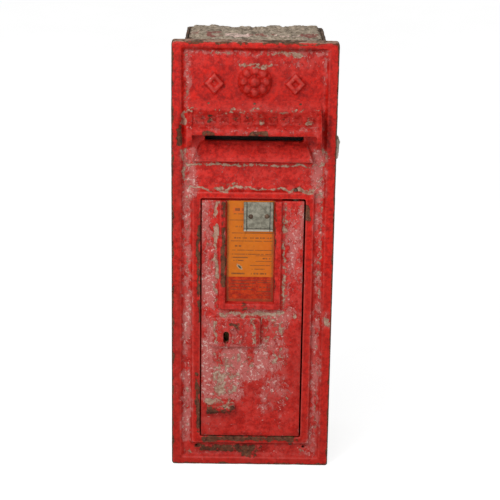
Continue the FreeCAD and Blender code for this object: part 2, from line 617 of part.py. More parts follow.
def door():
    """The door casting: plate, notice window, lock boss, pull and hinge knuckles."""
    slab = block(DOOR_LEFT, DOOR_RIGHT, DOOR_FACE_Y, DOOR_BACK_Y, DOOR_LOW, DOOR_HIGH)
    slab = rounded(slab, 1.5, lambda e: e.CenterOfMass.y < DOOR_FACE_Y + 0.01)
    knuckles = []
    for z0, z1 in ((DOOR_LOW, DOOR_LOW + KNUCKLE_H), (DOOR_HIGH - KNUCKLE_H, DOOR_HIGH)):
        barrel = rod_z(HINGE_X, HINGE_Y, KNUCKLE_R, z0, z1)
        barrel = barrel.cut(block(0, 100, -50, DOOR_FACE_Y + 2, z0 - 1, z1 + 1))
        knuckles.append(barrel)
    stiles = [block(x, x + 6, DOOR_BACK_Y - 1, DOOR_BACK_Y + 4, DOOR_LOW + 24, DOOR_HIGH - 24)
              for x in (-48.0, 44.0)]
    stiles[0] = stiles[0].cut(block(-60, 0, 0, 40, LOCK_LOW - 4, LOCK_HIGH + 4))
    body = fuse([slab, window_moulding(), finger_pull()] + lock_boss() + knuckles + stiles)
    sight = taper(rect(WINDOW_LEFT - 3, WINDOW_RIGHT + 3, WINDOW_LOW - 3, DOOR_HIGH + 5),
                  MOULDING_Y - 1,
                  rect(WINDOW_LEFT, WINDOW_RIGHT, WINDOW_LOW, DOOR_HIGH + 5), NOTICE_Y)
    groove = block(WINDOW_LEFT - NOTICE_LAP, WINDOW_RIGHT + NOTICE_LAP, NOTICE_Y - 0.25,
                   NOTICE_Y + NOTICE_T + 0.25, WINDOW_LOW - NOTICE_LAP, DOOR_HIGH + 5)
    bores = [rod_z(HINGE_X, HINGE_Y, PIN_R + RUNNING_GAP, DOOR_LOW - 1, DOOR_LOW + 15.5),
             rod_z(HINGE_X, HINGE_Y, PIN_R + RUNNING_GAP, DOOR_HIGH - 15.5, DOOR_HIGH + 1)]
    holes = [keyhole(BOSS_Y - 3, DOOR_BACK_Y + 1),
             rod_y(*COVER_PIVOT, 2.0, BOSS_Y - 3, BOSS_Y + 7),
             rod_y(*BOSS_RIVET, 2.5 + FIXED_GAP, BOSS_Y - 3, DOOR_BACK_Y + 1)]
    holes += [rod_y(x, z, 2.0 + FIXED_GAP, DOOR_BACK_Y - 5, DOOR_BACK_Y + 1)
              for x, z in LOCK_SCREWS]
    return cut(body, [sight, groove] + bores + holes)


def boss_rivet():
    """The rivet through the lock boss."""
    x, z = BOSS_RIVET
    return fuse([rod_y(x, z, 2.5, BOSS_Y - 1, DOOR_BACK_Y), dome(x, z, 4.2, BOSS_Y - 0.6, 1.9)])


def keyhole_cover():
    """The swinging keyhole cover: a disc on a tapered neck."""
    y0, y1 = BOSS_Y - 0.4 - COVER_T, BOSS_Y - 0.4
    (px, pz), (dx, dz) = COVER_PIVOT, COVER_DISC
    reach = math.hypot(dx - px, dz - pz)
    ux, uz = (dx - px) / reach, (dz - pz) / reach
    nx, nz = -uz, ux
    neck = [(px + 4 * nx, pz + 4 * nz), (dx + 6 * nx, dz + 6 * nz), (dx - 6 * nx, dz - 6 * nz),
            (px - 4 * nx, pz - 4 * nz)]
    shape = fuse([rod_y(dx, dz, COVER_R, y0, y1), rod_y(px, pz, 4.6, y0, y1), plate(neck, y0, y1)])
    return shape.cut(rod_y(px, pz, 1.9 + RUNNING_GAP, y0 - 1, y1 + 1))


def cover_pivot():
    """The shouldered pin that the keyhole cover turns on."""
    x, z = COVER_PIVOT
    front = BOSS_Y - 0.4 - COVER_T - 0.3
    return fuse([rod_y(x, z, 1.9, front - 0.5, BOSS_Y + 6), dome(x, z, 3.6, front, 1.8)])


# ---- notice plate and tablet pocket -------------------------------------------------------------
def notice_plate():
    """The enamelled notice plate that slides down behind the window's edges."""
    lap = NOTICE_LAP - 0.5
    return block(WINDOW_LEFT - lap, WINDOW_RIGHT + lap, NOTICE_Y, NOTICE_Y + NOTICE_T,
                 WINDOW_LOW - lap, DOOR_HIGH - 0.8).cut(
        Part.makeCompound([rod_y(x, z, 1.5 + FIXED_GAP, 0, 12) for x, z in POCKET_RIVETS]))


def tablet_pocket():
    """A sheet pocket with folded side and bottom lips, for the small number tablet."""
    x0, x1, z0, z1 = POCKET
    back = NOTICE_Y
    front = back - 3.6
    sheet = block(x0, x1, back - POCKET_T, back, z0, z1)
    walls = [block(x0, x0 + POCKET_T, front, back, z0, z1),
             block(x1 - POCKET_T, x1, front, back, z0, z1),
             block(x0, x1, front, back, z0, z0 + POCKET_T)]
    lips = [block(x0, x0 + 4.5, front, front + POCKET_T, z0, z1),
            block(x1 - 4.5, x1, front, front + POCKET_T, z0, z1),
            block(x0 + 4.0, x1 - 4.0, front, front + POCKET_T, z0, z0 + 3.0)]
    pocket = fuse([sheet] + walls + lips)
    return cut(pocket, [rod_y(x, z, 1.5 + FIXED_GAP, 0, 12) for x, z in POCKET_RIVETS])


def pocket_rivets():
    """Rivets through the tablet pocket and the notice plate."""
    seat = NOTICE_Y - POCKET_T
    return [fuse([rod_y(x, z, 1.5, seat - 0.5, NOTICE_Y + NOTICE_T), dome(x, z, 3.8, seat, 1.7)])
            for x, z in POCKET_RIVETS]


# ---- lock ---------------------------------------------------------------------------------------
def lock_case():
    """The open-backed lock case with pillars for its cover and a mouth for the bolt."""
    body = block(LOCK_LEFT, LOCK_RIGHT, LOCK_FRONT_Y, LOCK_BACK_Y, LOCK_LOW, LOCK_HIGH)
    body = body.cut(block(LOCK_LEFT + LOCK_WALL, LOCK_RIGHT - LOCK_WALL, LOCK_FRONT_Y + LOCK_WALL,
                          LOCK_BACK_Y + 1, LOCK_LOW + LOCK_WALL, LOCK_HIGH - LOCK_WALL))
    pillars = [rod_y(x, z, 4.5, LOCK_FRONT_Y + 1, LOCK_BACK_Y) for x, z in LOCK_SCREWS]
    body = fuse([body] + pillars)
    body = body.common(block(LOCK_LEFT, LOCK_RIGHT, LOCK_FRONT_Y, LOCK_BACK_Y, LOCK_LOW, LOCK_HIGH))
    mouth = block(LOCK_LEFT - 1, LOCK_LEFT + LOCK_WALL + 1, HEAD_Y[0] - 0.3, HEAD_Y[1] + 0.3,
                  BOLT_LOW - 0.3, BOLT_HIGH + 0.3)
    tools = [mouth, keyhole(LOCK_FRONT_Y - 1, LOCK_FRONT_Y + LOCK_WALL + 1)]
    tools += [rod_y(x, z, 2.0 + FIXED_GAP, LOCK_FRONT_Y - 1, LOCK_BACK_Y + 1)
              for x, z in LOCK_SCREWS]
    return cut(body, tools)


def lock_cover():
    """The lock's rear cover plate."""
    sheet = plate(rect(LOCK_LEFT, LOCK_RIGHT, LOCK_LOW, LOCK_HIGH), LOCK_BACK_Y,
                  LOCK_BACK_Y + COVER_PLATE_T)
    sheet = rounded(sheet, 2.0, lambda e: along(e, "y"))
    return cut(sheet, [rod_y(x, z, 2.0 + FIXED_GAP, LOCK_BACK_Y - 1, LOCK_BACK_Y + 4)
                       for x, z in LOCK_SCREWS])


def lock_screws():
    """Long screws through the cover and the case into the door."""
    return [cheese_screw(x, z, 2.0, DOOR_BACK_Y - 4.0, LOCK_BACK_Y + COVER_PLATE_T, 3.6, 2.4)
            for x, z in LOCK_SCREWS]


def lock_bolt():
    """The sliding bolt: a square head, a thin tail with a key notch, and the stump."""
    head = block(LOCK_LEFT - BOLT_LEAD, LOCK_LEFT + 17.0, *HEAD_Y, BOLT_LOW, BOLT_HIGH)
    tail = block(LOCK_LEFT + 16.0, LOCK_LEFT + 46.0, *BOLT_Y, BOLT_LOW, BOLT_HIGH)
    notch = block(KEYHOLE_X - 5, KEYHOLE_X + 5, 0, 60, BOLT_LOW - 1, BOLT_LOW + 6)
    stump = rod_y(-32.5, 243.5, 1.5, BOLT_Y[0], BOLT_Y[1] + LEVER_COUNT * LEVER_PITCH + 0.4)
    return fuse([head, tail.cut(notch), stump])


def lever(index):
    """One lever: a pivot eye, a blade with a belly, and a window for the stump."""
    y0 = LEVER_Y + index * LEVER_PITCH
    px, pz = LEVER_POST
    outline = [(px, pz - 5), (-30.0, 235.6), (-50.0, 235.6), (-54.0, 238.5), (-54.0, 249.6),
               (px, pz + 5)]
    blade = fuse([plate(outline, y0, y0 + LEVER_T), rod_y(px, pz, 5.0, y0, y0 + LEVER_T)])
    window = block(-51.0, -28.0, y0 - 1, y0 + LEVER_T + 1, 239.6, 247.6)
    return cut(blade, [window, rod_y(px, pz, 3.0 + RUNNING_GAP, y0 - 1, y0 + LEVER_T + 1)])


def lever_post():
    """The post that the levers turn on, with thin collars between them."""
    px, pz = LEVER_POST
    post = [rod_y(px, pz, 3.0, LOCK_FRONT_Y + LOCK_WALL, LOCK_BACK_Y - 1.0),
            rod_y(px, pz, 5.0, LOCK_FRONT_Y + LOCK_WALL, LEVER_Y - 0.3)]
    return fuse(post)


def lever_springs():
    """Leaf springs fixed in the case's top wall that press the levers down."""
    springs = []
    top = LOCK_HIGH - LOCK_WALL
    for i in range(LEVER_COUNT):
        y0 = LEVER_Y + i * LEVER_PITCH + 0.2
        foot = block(-28.0, -19.0, y0, y0 + 1.2, top - 1.0, top)
        leaf = plate([(-27.0, top - 1.0), (-25.0, top - 1.0), (-46.0, 250.6), (-47.0, 251.4),
                      (-27.0, top)], y0, y0 + 1.2)
        springs.append(fuse([foot, leaf]))
    return springs


def lock_keep():
    """The wear plate behind the left edge of the doorway that the bolt shoots behind."""
    y0 = PANEL_BACK_Y
    sheet = block(-97.0, -DOORWAY_HALF_W - 4.2, y0, y0 + 3.0, 214.0, 272.0)
    sheet = rounded(sheet, 2.0, lambda e: along(e, "y"))
    return cut(sheet, [rod_y(KEEP_SCREW_X, z, 2.0 + FIXED_GAP, y0 - 1, y0 + 4) for z in KEEP_SCREW_Z])


def keep_screws():
    """Screws that hold the keep."""
    return [cheese_screw(KEEP_SCREW_X, z, 2.0, PANEL_BACK_Y - 4, PANEL_BACK_Y + 3.0, 3.4, 1.6)
            for z in KEEP_SCREW_Z]


# ---- build --------------------------------------------------------------------------------------
def main():
    """Writes every node."""
    write("front_frame", front_frame())
    write("aperture_hood", aperture_hood())
    write("hood_screws", hood_screws())
    write("casing_left", casing_side(-1))
    write("casing_right", casing_side(1))
    write("casing_top", casing_top())
    write("casing_bottom", casing_bottom())
    write("plate_screws", plate_screws())
    write("casing_bolts", casing_bolts())
    write("back_plate", back_plate())
    write("back_screws", back_screws())
    write("wall_ties", wall_ties())
    write("tie_rivets", tie_rivets())
    write("letter_baffle", letter_baffle())
    write("baffle_screws", baffle_screws())
    write("upper_hinge_pin", hinge_pin(DOOR_HIGH - 15.0, DOORWAY_HIGH + 15.5))
    write("lower_hinge_pin", hinge_pin(DOORWAY_LOW - 15.5, DOOR_LOW + 15.0))
    write("hinge_washer", hinge_washer())
    write("door", door())
    write("boss_rivet", boss_rivet())
    write("keyhole_cover", keyhole_cover())
    write("cover_pivot", cover_pivot())
    write("notice_plate", notice_plate())
    write("tablet_pocket", tablet_pocket())
    write("pocket_rivets", pocket_rivets())
    write("lock_case", lock_case())
    write("lock_cover", lock_cover())
    write("lock_screws", lock_screws())
    write("lock_bolt", lock_bolt())
    for i in range(LEVER_COUNT):
        write(f"lever_{i + 1}", lever(i))
    write("lever_post", lever_post())
    write("lever_springs", lever_springs())
    write("lock_keep", lock_keep())
    write("keep_screws", keep_screws())


main()
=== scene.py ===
"""Worn red cast-iron wall letter box: castings, mortar, enamel notice, fittings, light and camera."""

import math

import bpy
import numpy as np
from mathutils import Matrix, Vector


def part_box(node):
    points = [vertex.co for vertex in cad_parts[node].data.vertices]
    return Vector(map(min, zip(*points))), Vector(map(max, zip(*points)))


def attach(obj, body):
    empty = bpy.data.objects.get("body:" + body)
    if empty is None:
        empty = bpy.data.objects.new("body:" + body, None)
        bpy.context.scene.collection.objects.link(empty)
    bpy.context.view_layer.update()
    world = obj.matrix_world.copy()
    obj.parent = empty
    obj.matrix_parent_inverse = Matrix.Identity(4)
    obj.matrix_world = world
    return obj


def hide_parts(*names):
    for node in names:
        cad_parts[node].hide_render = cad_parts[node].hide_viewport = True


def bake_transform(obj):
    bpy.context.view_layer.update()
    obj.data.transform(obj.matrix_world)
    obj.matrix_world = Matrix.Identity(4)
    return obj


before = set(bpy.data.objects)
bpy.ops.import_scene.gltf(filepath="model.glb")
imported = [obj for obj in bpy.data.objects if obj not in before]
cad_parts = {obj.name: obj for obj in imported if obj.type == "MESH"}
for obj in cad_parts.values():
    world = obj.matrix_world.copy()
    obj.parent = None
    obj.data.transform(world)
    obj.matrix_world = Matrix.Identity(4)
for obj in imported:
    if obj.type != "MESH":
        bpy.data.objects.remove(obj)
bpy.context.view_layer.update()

MM = 0.001
RIM_DEPTH = 25.0 * MM  # border face to the rear edge of the rim
FRAME_LOW, FRAME_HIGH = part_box("front_frame")
FACE_MM = (FRAME_HIGH.y - RIM_DEPTH) / MM  # front plane of the border
HEIGHT_MM = (FRAME_HIGH.z - FRAME_LOW.z) / MM
HALF_W_MM = (FRAME_HIGH.x - FRAME_LOW.x) / 2 / MM


# ---- repeatable noise for mesh work --------------------------------------------------------------
def lattice(i, j, k, seed):
    """A repeatable random value from 0 to 1 for every lattice point."""
    h = (i * 374761393 + j * 668265263 + k * 1274126177 + seed * 2246822519) & 0xFFFFFFFF
    h = ((h ^ (h >> 13)) * 1103515245) & 0xFFFFFFFF
    h = ((h ^ (h >> 16)) * 2654435761) & 0xFFFFFFFF
    return ((h ^ (h >> 15)) & 0xFFFFFF) / float(0xFFFFFF)


def noise(points, cell, seed):
    """Smooth noise from -1 to 1 at the points, with lumps about one cell wide."""
    q = points / np.asarray(cell, float)
    base = np.floor(q).astype(np.int64)
    t = q - base
    t = t * t * (3 - 2 * t)
    total = np.zeros(len(points))
    for dx in (0, 1):
        wx = t[:, 0] if dx else 1 - t[:, 0]
        for dy in (0, 1):
            wy = t[:, 1] if dy else 1 - t[:, 1]
            for dz in (0, 1):
                wz = t[:, 2] if dz else 1 - t[:, 2]
                corner = lattice(base[:, 0] + dx, base[:, 1] + dy, base[:, 2] + dz, seed)
                total += wx * wy * wz * corner
    return total * 2 - 1


def fractal(points, cell, seed, octaves=4, gain=0.55):
    """Several sizes of noise added up, about -1 to 1."""
    total, weight, size = 0.0, 0.0, 1.0
    for i in range(octaves):
        total = total + size * noise(points, np.asarray(cell, float) / 2 ** i, seed + 17 * i)
        weight += size
        size *= gain
    return total / weight * 1.6


def smooth_step(x, low, high):
    """0 below low, 1 above high, eased between."""
    t = np.clip((x - low) / (high - low), 0, 1)
    return t * t * (3 - 2 * t)


# ---- mesh helpers --------------------------------------------------------------------------------
def link(obj):
    """Puts a new object in the scene."""
    bpy.context.scene.collection.objects.link(obj)
    return obj


def evaluated_mesh(obj, name):
    """The object's mesh with its modifiers applied, as new data."""
    graph = bpy.context.evaluated_depsgraph_get()
    mesh = bpy.data.meshes.new_from_object(obj.evaluated_get(graph))
    mesh.name = name
    return mesh


def read_points(mesh):
    """Vertex positions as an array."""
    co = np.zeros(len(mesh.vertices) * 3)
    mesh.vertices.foreach_get("co", co)
    return co.reshape(-1, 3)


def write_points(mesh, co):
    """Stores vertex positions."""
    mesh.vertices.foreach_set("co", co.ravel())
    mesh.update()


def read_normals(mesh):
    """Vertex normals as an array."""
    normals = np.zeros(len(mesh.vertices) * 3)
    mesh.vertex_normals.foreach_get("vector", normals)
    return normals.reshape(-1, 3)


def read_edges(mesh):
    """Vertex pairs of the edges."""
    pairs = np.zeros(len(mesh.edges) * 2, int)
    mesh.edges.foreach_get("vertices", pairs)
    return pairs.reshape(-1, 2)


def relax(values, edges, passes, amount=0.5):
    """Moves every value towards the mean of its neighbours, several times over."""
    values = values.copy()
    flat = values.ndim == 1
    table = values[:, None] if flat else values
    count = np.maximum(np.bincount(edges.ravel(), minlength=len(table)), 1)
    for _ in range(passes):
        mean = np.zeros_like(table)
        for axis in range(table.shape[1]):
            column = table[:, axis]
            mean[:, axis] = (np.bincount(edges[:, 0], column[edges[:, 1]], len(table))
                             + np.bincount(edges[:, 1], column[edges[:, 0]], len(table))) / count
        table = table + amount * (mean - table)
    return table[:, 0] if flat else table


def store(mesh, name, values):
    """Keeps one value per vertex under a name that the materials read."""
    layer = mesh.attributes.new(name, "FLOAT", "POINT")
    layer.data.foreach_set("value", np.clip(values, 0, 1).astype(np.float32))


def smooth_shade(mesh):
    """Smooth shading on every face."""
    mesh.polygons.foreach_set("use_smooth", np.ones(len(mesh.polygons), bool))


# ---- worn paint layers ---------------------------------------------------------------------------
def front_mm(points):
    """Positions in millimetres: x from the middle, y behind the border face, z from the base."""
    q = points / MM
    q[:, 1] -= FACE_MM
    return q


def spread(q, patches, seed, wobble=5.0):
    """How much of the surface a paint layer covers: soft patches with wandering edges."""
    shift_x = fractal(q, 14.0, seed) * wobble
    shift_z = fractal(q, 14.0, seed + 5) * wobble * 1.4
    x, z = q[:, 0] + shift_x, q[:, 2] + shift_z
    uneven = np.clip(0.86 + 0.55 * fractal(q, (16.0, 16.0, 26.0), seed + 9, 3), 0.25, 1.3)
    clear = np.ones(len(q))
    for x0, x1, z0, z1, amount, fringe in patches:
        inside = (smooth_step(x, x0 - fringe, x0 + fringe)
                  * (1 - smooth_step(x, x1 - fringe, x1 + fringe))
                  * smooth_step(z, z0 - fringe, z0 + fringe)
                  * (1 - smooth_step(z, z1 - fringe, z1 + fringe)))
        clear *= 1 - np.clip(amount * inside * uneven, 0, 1)
    return 1 - clear


# Patches of each layer, in millimetres on the front: x0, x1, z0, z1, cover, fringe.
FRAME_CHALK = [
    (-111, -95, 40, 470, 0.81, 4), (95, 110, 35, 461, 0.73, 4), (-112, -86, 450, 529, 0.78, 7),
    (89, 112, 449, 531, 0.81, 7), (-98, 98, 464, 500, 0.24, 8), (-108, -98, 585, 680, 0.65, 4),
    (-108, 108, 674, 681, 0.59, 4), (-104, -24, 655, 680, 0.16, 6), (22, 108, 655, 681, 0.26, 6),
    (-86, -40, 594, 606, 0.16, 6), (30, 103, 594, 606, 0.30, 5), (-108, 108, 14, 38, 0.31, 5),
    (-95, 95, 505, 545, 0.16, 8), (112, 127, 235, 262, 0.52, 5), (-30, 32, 650, 668, 0.26, 6),
    (-127, -118, 60, 420, 0.18, 4), (84, 108, 16, 40, 0.45, 4), (102, 109, 560, 672, 0.45, 3),
    (30, 100, 644, 676, 0.20, 8),
]
FRAME_PUTTY = [
    (31, 51, 668, 683, 0.69, 3), (57, 70, 671, 681, 0.62, 3), (-28, 30, 655, 662, 0.53, 3),
    (-104, 104, 584, 590, 0.56, 2), (-103, 103, 500, 504, 0.83, 1.6), (-99, 95, 463, 467, 0.83, 1.6),
    (-62, -20, 466, 474, 0.45, 4), (-112, -98, 446, 532, 0.43, 5), (98, 112, 449, 531, 0.33, 5),
    (-106, -98, 60, 450, 0.33, 3), (101, 109, 60, 455, 0.33, 3), (-106, -101, 600, 650, 0.50, 2),
    (112, 126, 442, 450, 0.20, 3), (112, 126, 243, 255, 0.45, 4), (-108, -92, 14, 24, 0.50, 4),
    (79, 92, 14, 27, 0.38, 4), (-112, -104, 564, 588, 0.85, 2.5), (106, 112, 540, 560, 0.28, 3),
    (-110, 110, 674, 679, 0.38, 2),
]
FRAME_BARE = [
    (-87, -80.5, 245, 428, 0.90, 2), (-88, -80.5, 56, 165, 0.75, 2), (-80, 12, 42, 51, 0.76, 2),
    (30, 70, 41, 51, 0.76, 2), (-89, 24, 21, 34, 0.76, 3), (-12, 12, 13, 22, 0.71, 3),
    (81, 89, 416, 441, 0.80, 2), (-118, -110, 534, 568, 0.85, 3), (-82, 82, 43, 50.5, 0.50, 1.5),
    (-90, -80, 428, 452, 0.34, 3),
    (60, 92, 30, 38, 0.41, 4), (33, 50, 26, 31, 0.48, 3), (-127, 127, 690.5, 694.4, 0.71, 1.5),
    (-127, -124, 0, 694, 0.71, 1.2), (124.5, 127, 0, 694, 0.48, 1.2), (-127, 127, 0, 3.5, 0.90, 1.5),
]
# Soiling and painted shade on the frame: painted shadows beside the hood's cheeks, under the hood and the
# slide, along the top step, the door gap and under the door surround.
FRAME_SHADE_AND_GRIME = [
    (-108, 108, 681, 687, 0.85, 2), (-118, -106, 534, 574, 0.60, 3), (106, 118, 530, 586, 0.80, 3),
    (-95, 95, 34, 39, 0.75, 2), (-90, 30, 20, 36, 0.45, 4), (-92, 92, 504, 509, 0.35, 2),
    (-90, -80, 50, 452, 0.45, 2), (-84, 84, 42, 50, 0.6, 2), (-79, 79, 535, 575, 0.75, 3),
    (-100, 100, 588, 593, 0.20, 2), (-116, -110, 30, 684, 0.42, 1.5), (-127, -120, 20, 694, 0.32, 3),
    (109, 115, 30, 684, 0.45, 1.5), (79, 86, 52, 450, 0.35, 2), (-99, -77, 534, 560, 0.75, 3),
    (77, 99, 534, 560, 0.75, 3), (-92, 92, 534, 541, 0.4, 2), (-93, -87, 300, 460, 0.2, 2),
    (-112, 112, 679, 683, 0.45, 1.5), (-92, 92, 461, 465, 0.55, 1.5), (-80, -76, 60, 445, 0.35, 1.5),
    (-108, 108, 590, 684, 0.22, 8), (-127, -112, 0, 694, 0.15, 2), (-36, 34, 600, 648, 0.20, 4),
    (-86, -42, 604, 646, 0.18, 4), (44, 86, 604, 646, 0.18, 4),
]
DOOR_CHALK = [
    (-81, -61, 200, 448, 0.65, 5), (-81, -60, 110, 215, 0.72, 6), (-80, 22, 150, 208, 0.86, 10),
    (50, 84, 250, 446, 0.47, 9), (18, 58, 165, 262, 0.68, 10), (-62, -15, 112, 165, 0.81, 9),
    (16, 62, 92, 155, 0.52, 9), (-80, 82, 50, 448, 0.23, 6), (-60, 55, 256, 268, 0.57, 4),
    (-60, 10, 205, 256, 0.26, 5), (-70, -54, 270, 380, 0.44, 5), (56, 66, 300, 400, 0.39, 5),
]
DOOR_PUTTY = [
    (-60, -53, 270, 448, 0.78, 2.5), (46, 53, 268, 446, 0.56, 3), (-58, 54, 258, 265, 0.70, 2.5),
    (-60, -54, 211, 252, 0.70, 2), (0, 8, 212, 254, 0.57, 2), (64, 71, 254, 268, 0.61, 2),
    (-60, -18, 120, 162, 0.49, 9), (20, 60, 100, 152, 0.30, 9), (14, 56, 175, 258, 0.32, 9),
    (-73, -24, 103, 116, 0.57, 4), (-80, 82, 50, 448, 0.08, 6), (-78, -58, 330, 442, 0.22, 6),
    (56, 82, 430, 447, 0.35, 4), (-75, 10, 150, 200, 0.30, 10),
]
DOOR_BARE = [
    (-49, -42, 309, 444, 0.83, 1.5), (-19, 6, 270, 278, 0.57, 2.5), (-38, -17, 234, 247, 0.76, 3),
    (-71, -25, 88, 107, 0.83, 2), (-55, -42, 438, 447, 0.57, 3), (38, 46, 68, 76, 0.34, 3),
    (-75, 75, 50, 53, 0.40, 2), (-47, -36, 203, 212, 0.52, 3), (33, 37, 282, 440, 0.40, 1.5),
]
# Soiling and painted shade on the door: dark lines of painted shade along its edges and mouldings.
DOOR_SHADE_AND_GRIME = [
    (-50, -38, 270, 447, 0.45, 2), (-48, 44, 262, 267, 0.4, 2), (-72, 18, 200, 208, 0.45, 3),
    (-73, -22, 84, 92, 0.55, 3), (-80, 82, 50, 56, 0.55, 2), (-82, -76, 50, 447, 0.35, 2),
    (76, 82, 50, 447, 0.30, 2), (-32, -8, 212, 236, 0.35, 3), (10, 20, 204, 258, 0.4, 2),
    (31, 36, 280, 447, 0.5, 1.5),
]
BILLETS = [-90 + 18.6 * i for i in range(10)]  # left edges of the raised blocks on the hood
HOOD_CHALK = [(-100, 100, 562, 596, 0.31, 5), (-104, 104, 560, 566, 0.29, 3)]
HOOD_PUTTY = [(-104, 104, 586, 592, 0.40, 2), (-103, -92, 536, 546, 0.2, 3), (92, 103, 536, 546, 0.3, 3)]
HOOD_PUTTY += [(x + 2, x + 11, 575, 582, 0.26 + 0.2 * (i % 4 == 1), 2.0) for i, x in enumerate(BILLETS)]
HOOD_BARE = [(-10, 22, 555, 565, 0.95, 2), (-78, -60, 555, 563, 0.80, 2), (-72, -64, 574, 583, 0.42, 2),
             (68, 77, 572, 580, 0.42, 2), (-104, -98, 560, 590, 0.24, 2)]
HOOD_BARE += [(x, x + 13, 573, 585, 0.30, 2.0) for x in BILLETS]
# Soiling and painted shade on the hood: soiling on the raised letters, painted shade under the lip and at
# both ends.
HOOD_SHADE_AND_GRIME = [(-104, 104, 585, 589, 0.35, 2), (-95, 95, 552, 560, 0.4, 3), (-98, 98, 568, 588, 0.3, 4),
              (-104, -92, 536, 546, 0.5, 3), (92, 104, 536, 546, 0.5, 3)]
HOOD_SHADE_AND_GRIME += [(x, x + 13, 572, 586, 0.62, 1.5) for x in BILLETS]


def patch_set(*lists):
    """The four lists of patches of one casting by layer."""
    return dict(zip(("chalk", "putty", "bare", "grime_and_shade"), lists))


NO_PATCHES = patch_set([], [], [], [])
FRAME_PATCHES = patch_set(FRAME_CHALK, FRAME_PUTTY, FRAME_BARE, FRAME_SHADE_AND_GRIME)
DOOR_PATCHES = patch_set(DOOR_CHALK, DOOR_PUTTY, DOOR_BARE, DOOR_SHADE_AND_GRIME)
HOOD_PATCHES = patch_set(HOOD_CHALK, HOOD_PUTTY, HOOD_BARE, HOOD_SHADE_AND_GRIME)
SMALL_PATCHES = patch_set(*([(-60, 20, 180, 280, cover, 4)] for cover in (0.55, 0.26, 0.20, 0.30)))


def worn_layers(mesh, patches, seed, edge_wear):
    """Stores the cover of every paint layer, the soiling and painted shade in hollows and the wear on
    edges.
    """
    co, normals, edges = read_points(mesh), read_normals(mesh), read_edges(mesh)
    q = front_mm(co.copy())
    bend = ((relax(co, edges, 10) - co) * normals).sum(1) / MM
    hollow = smooth_step(relax(bend, edges, 1), 0.10, 0.75)
    ridge = smooth_step(-relax(bend, edges, 1), 0.10, 0.60)
    chalk = spread(q, patches["chalk"], seed)
    putty = spread(q, patches["putty"], seed + 11, 3.5)
    bare = spread(q, patches["bare"], seed + 23, 2.5)
    near_rim = smooth_step(np.abs(q[:, 0]), HALF_W_MM - 3.2, HALF_W_MM - 1.0)
    low_rim = 1 - smooth_step(q[:, 2], 1.5, 4.0)
    inside = smooth_step(normals[:, 1], 0.3, 0.8) * smooth_step(q[:, 1], 7.0, 10.0)
    top_face = smooth_step(normals[:, 2], 0.5, 0.9) * smooth_step(q[:, 2], HEIGHT_MM - 4, HEIGHT_MM - 1)
    putty = 1 - (1 - putty) * (1 - 0.34 * hollow) * (1 - 0.10 * ridge) * (1 - 0.8 * top_face)
    bare = 1 - (1 - bare) * (1 - 0.7 * near_rim) * (1 - 0.75 * low_rim) * (1 - 0.85 * inside)
    bare = 1 - (1 - bare) * (1 - edge_wear * ridge * smooth_step(fractal(q, 22.0, seed + 31), 0.0, 0.9))
    rubbed = 0.30 * ridge + 0.34 * hollow * smooth_step(fractal(q, 12.0, seed + 37), -0.5, 0.5)
    chalk = 1 - (1 - chalk) * (1 - rubbed)
    fade = 0.12 + 0.30 * fractal(q, 70.0, seed + 41, 3) + 0.45 * (1 - smooth_step(q[:, 2], 40, 480))
    # soiling patches and painted shade: the patches hold painted shadows, and every hollow and crease is
    # darkened as painted shade
    grime_and_shade = 1 - (1 - spread(q, patches["grime_and_shade"], seed + 47, 1.5)) * (1 - 0.80 * hollow)
    layers = {"chalk": chalk, "putty": putty, "bare": bare, "hollow": hollow, "ridge": ridge,
              "fade": fade, "grime_and_shade": grime_and_shade}
    for name, values in layers.items():
        store(mesh, name, values)
    return q, normals, layers


def cast_piece(name, node, body, voxel, patches, seed, roughness_mm, edge_wear, material,
               shape=None, fit=None):
    """A casting remade from its CAD solid: soft edges, uneven faces, chips and paint layers."""
    holder = link(bpy.data.objects.new(name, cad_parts[node].data.copy()))
    holder.data.materials.clear()
    remesh = holder.modifiers.new("Skin", "REMESH")
    remesh.mode = "VOXEL"
    remesh.voxel_size = voxel * MM
    mesh = evaluated_mesh(holder, name)
    holder.modifiers.clear()
    holder.data = mesh
    edges = read_edges(mesh)
    co = relax(read_points(mesh), edges, 2, 0.5)
    write_points(mesh, co)
    q, normals, layers = worn_layers(mesh, patches, seed, edge_wear)
    chipped = smooth_step(layers["bare"] + 0.25 * fractal(q, 5.0, seed + 3), 0.45, 0.75)
    scraped = smooth_step(layers["putty"] + 0.35 * fractal(q, 5.0, seed + 4), 0.5, 0.8)
    lift = roughness_mm * (0.9 * fractal(q, 55.0, seed + 1, 3) + 0.55 * fractal(q, 13.0, seed + 2, 3)
                           + 0.22 * fractal(q, 3.6, seed + 6, 2))
    lift -= 0.28 * chipped + 0.16 * scraped
    lift -= 0.8 * roughness_mm * layers["ridge"] * np.clip(fractal(q, 8.0, seed + 7, 3), 0, 1)
    lift += 0.25 * roughness_mm * layers["hollow"]
    if shape:
        lift = shape(q, normals, lift)
    co = co + normals * lift[:, None] * MM
    if fit:
        co = fit(co)
    write_points(mesh, co)
    smooth_shade(mesh)
    mesh.materials.append(material)
    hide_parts(node)
    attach(holder, body)


# ---- node helpers --------------------------------------------------------------------------------
def put(tree, kind, inputs=None, **settings):
    """Adds a shader node; inputs are sockets to link or plain values."""
    made = tree.nodes.new(kind)
    for key, value in settings.items():
        setattr(made, key, value)
    for key, value in (inputs or {}).items():
        if isinstance(value, bpy.types.NodeSocket):
            tree.links.new(value, made.inputs[key])
        else:
            made.inputs[key].default_value = value
    return made


def calc(tree, operation, a, b=0.0, c=0.0, clamp=False):
    """One arithmetic step."""
    made = put(tree, "ShaderNodeMath", {0: a, 1: b, 2: c}, operation=operation, use_clamp=clamp)
    return made.outputs[0]


def times(tree, a, b):
    """The product of two values."""
    return calc(tree, "MULTIPLY", a, b)


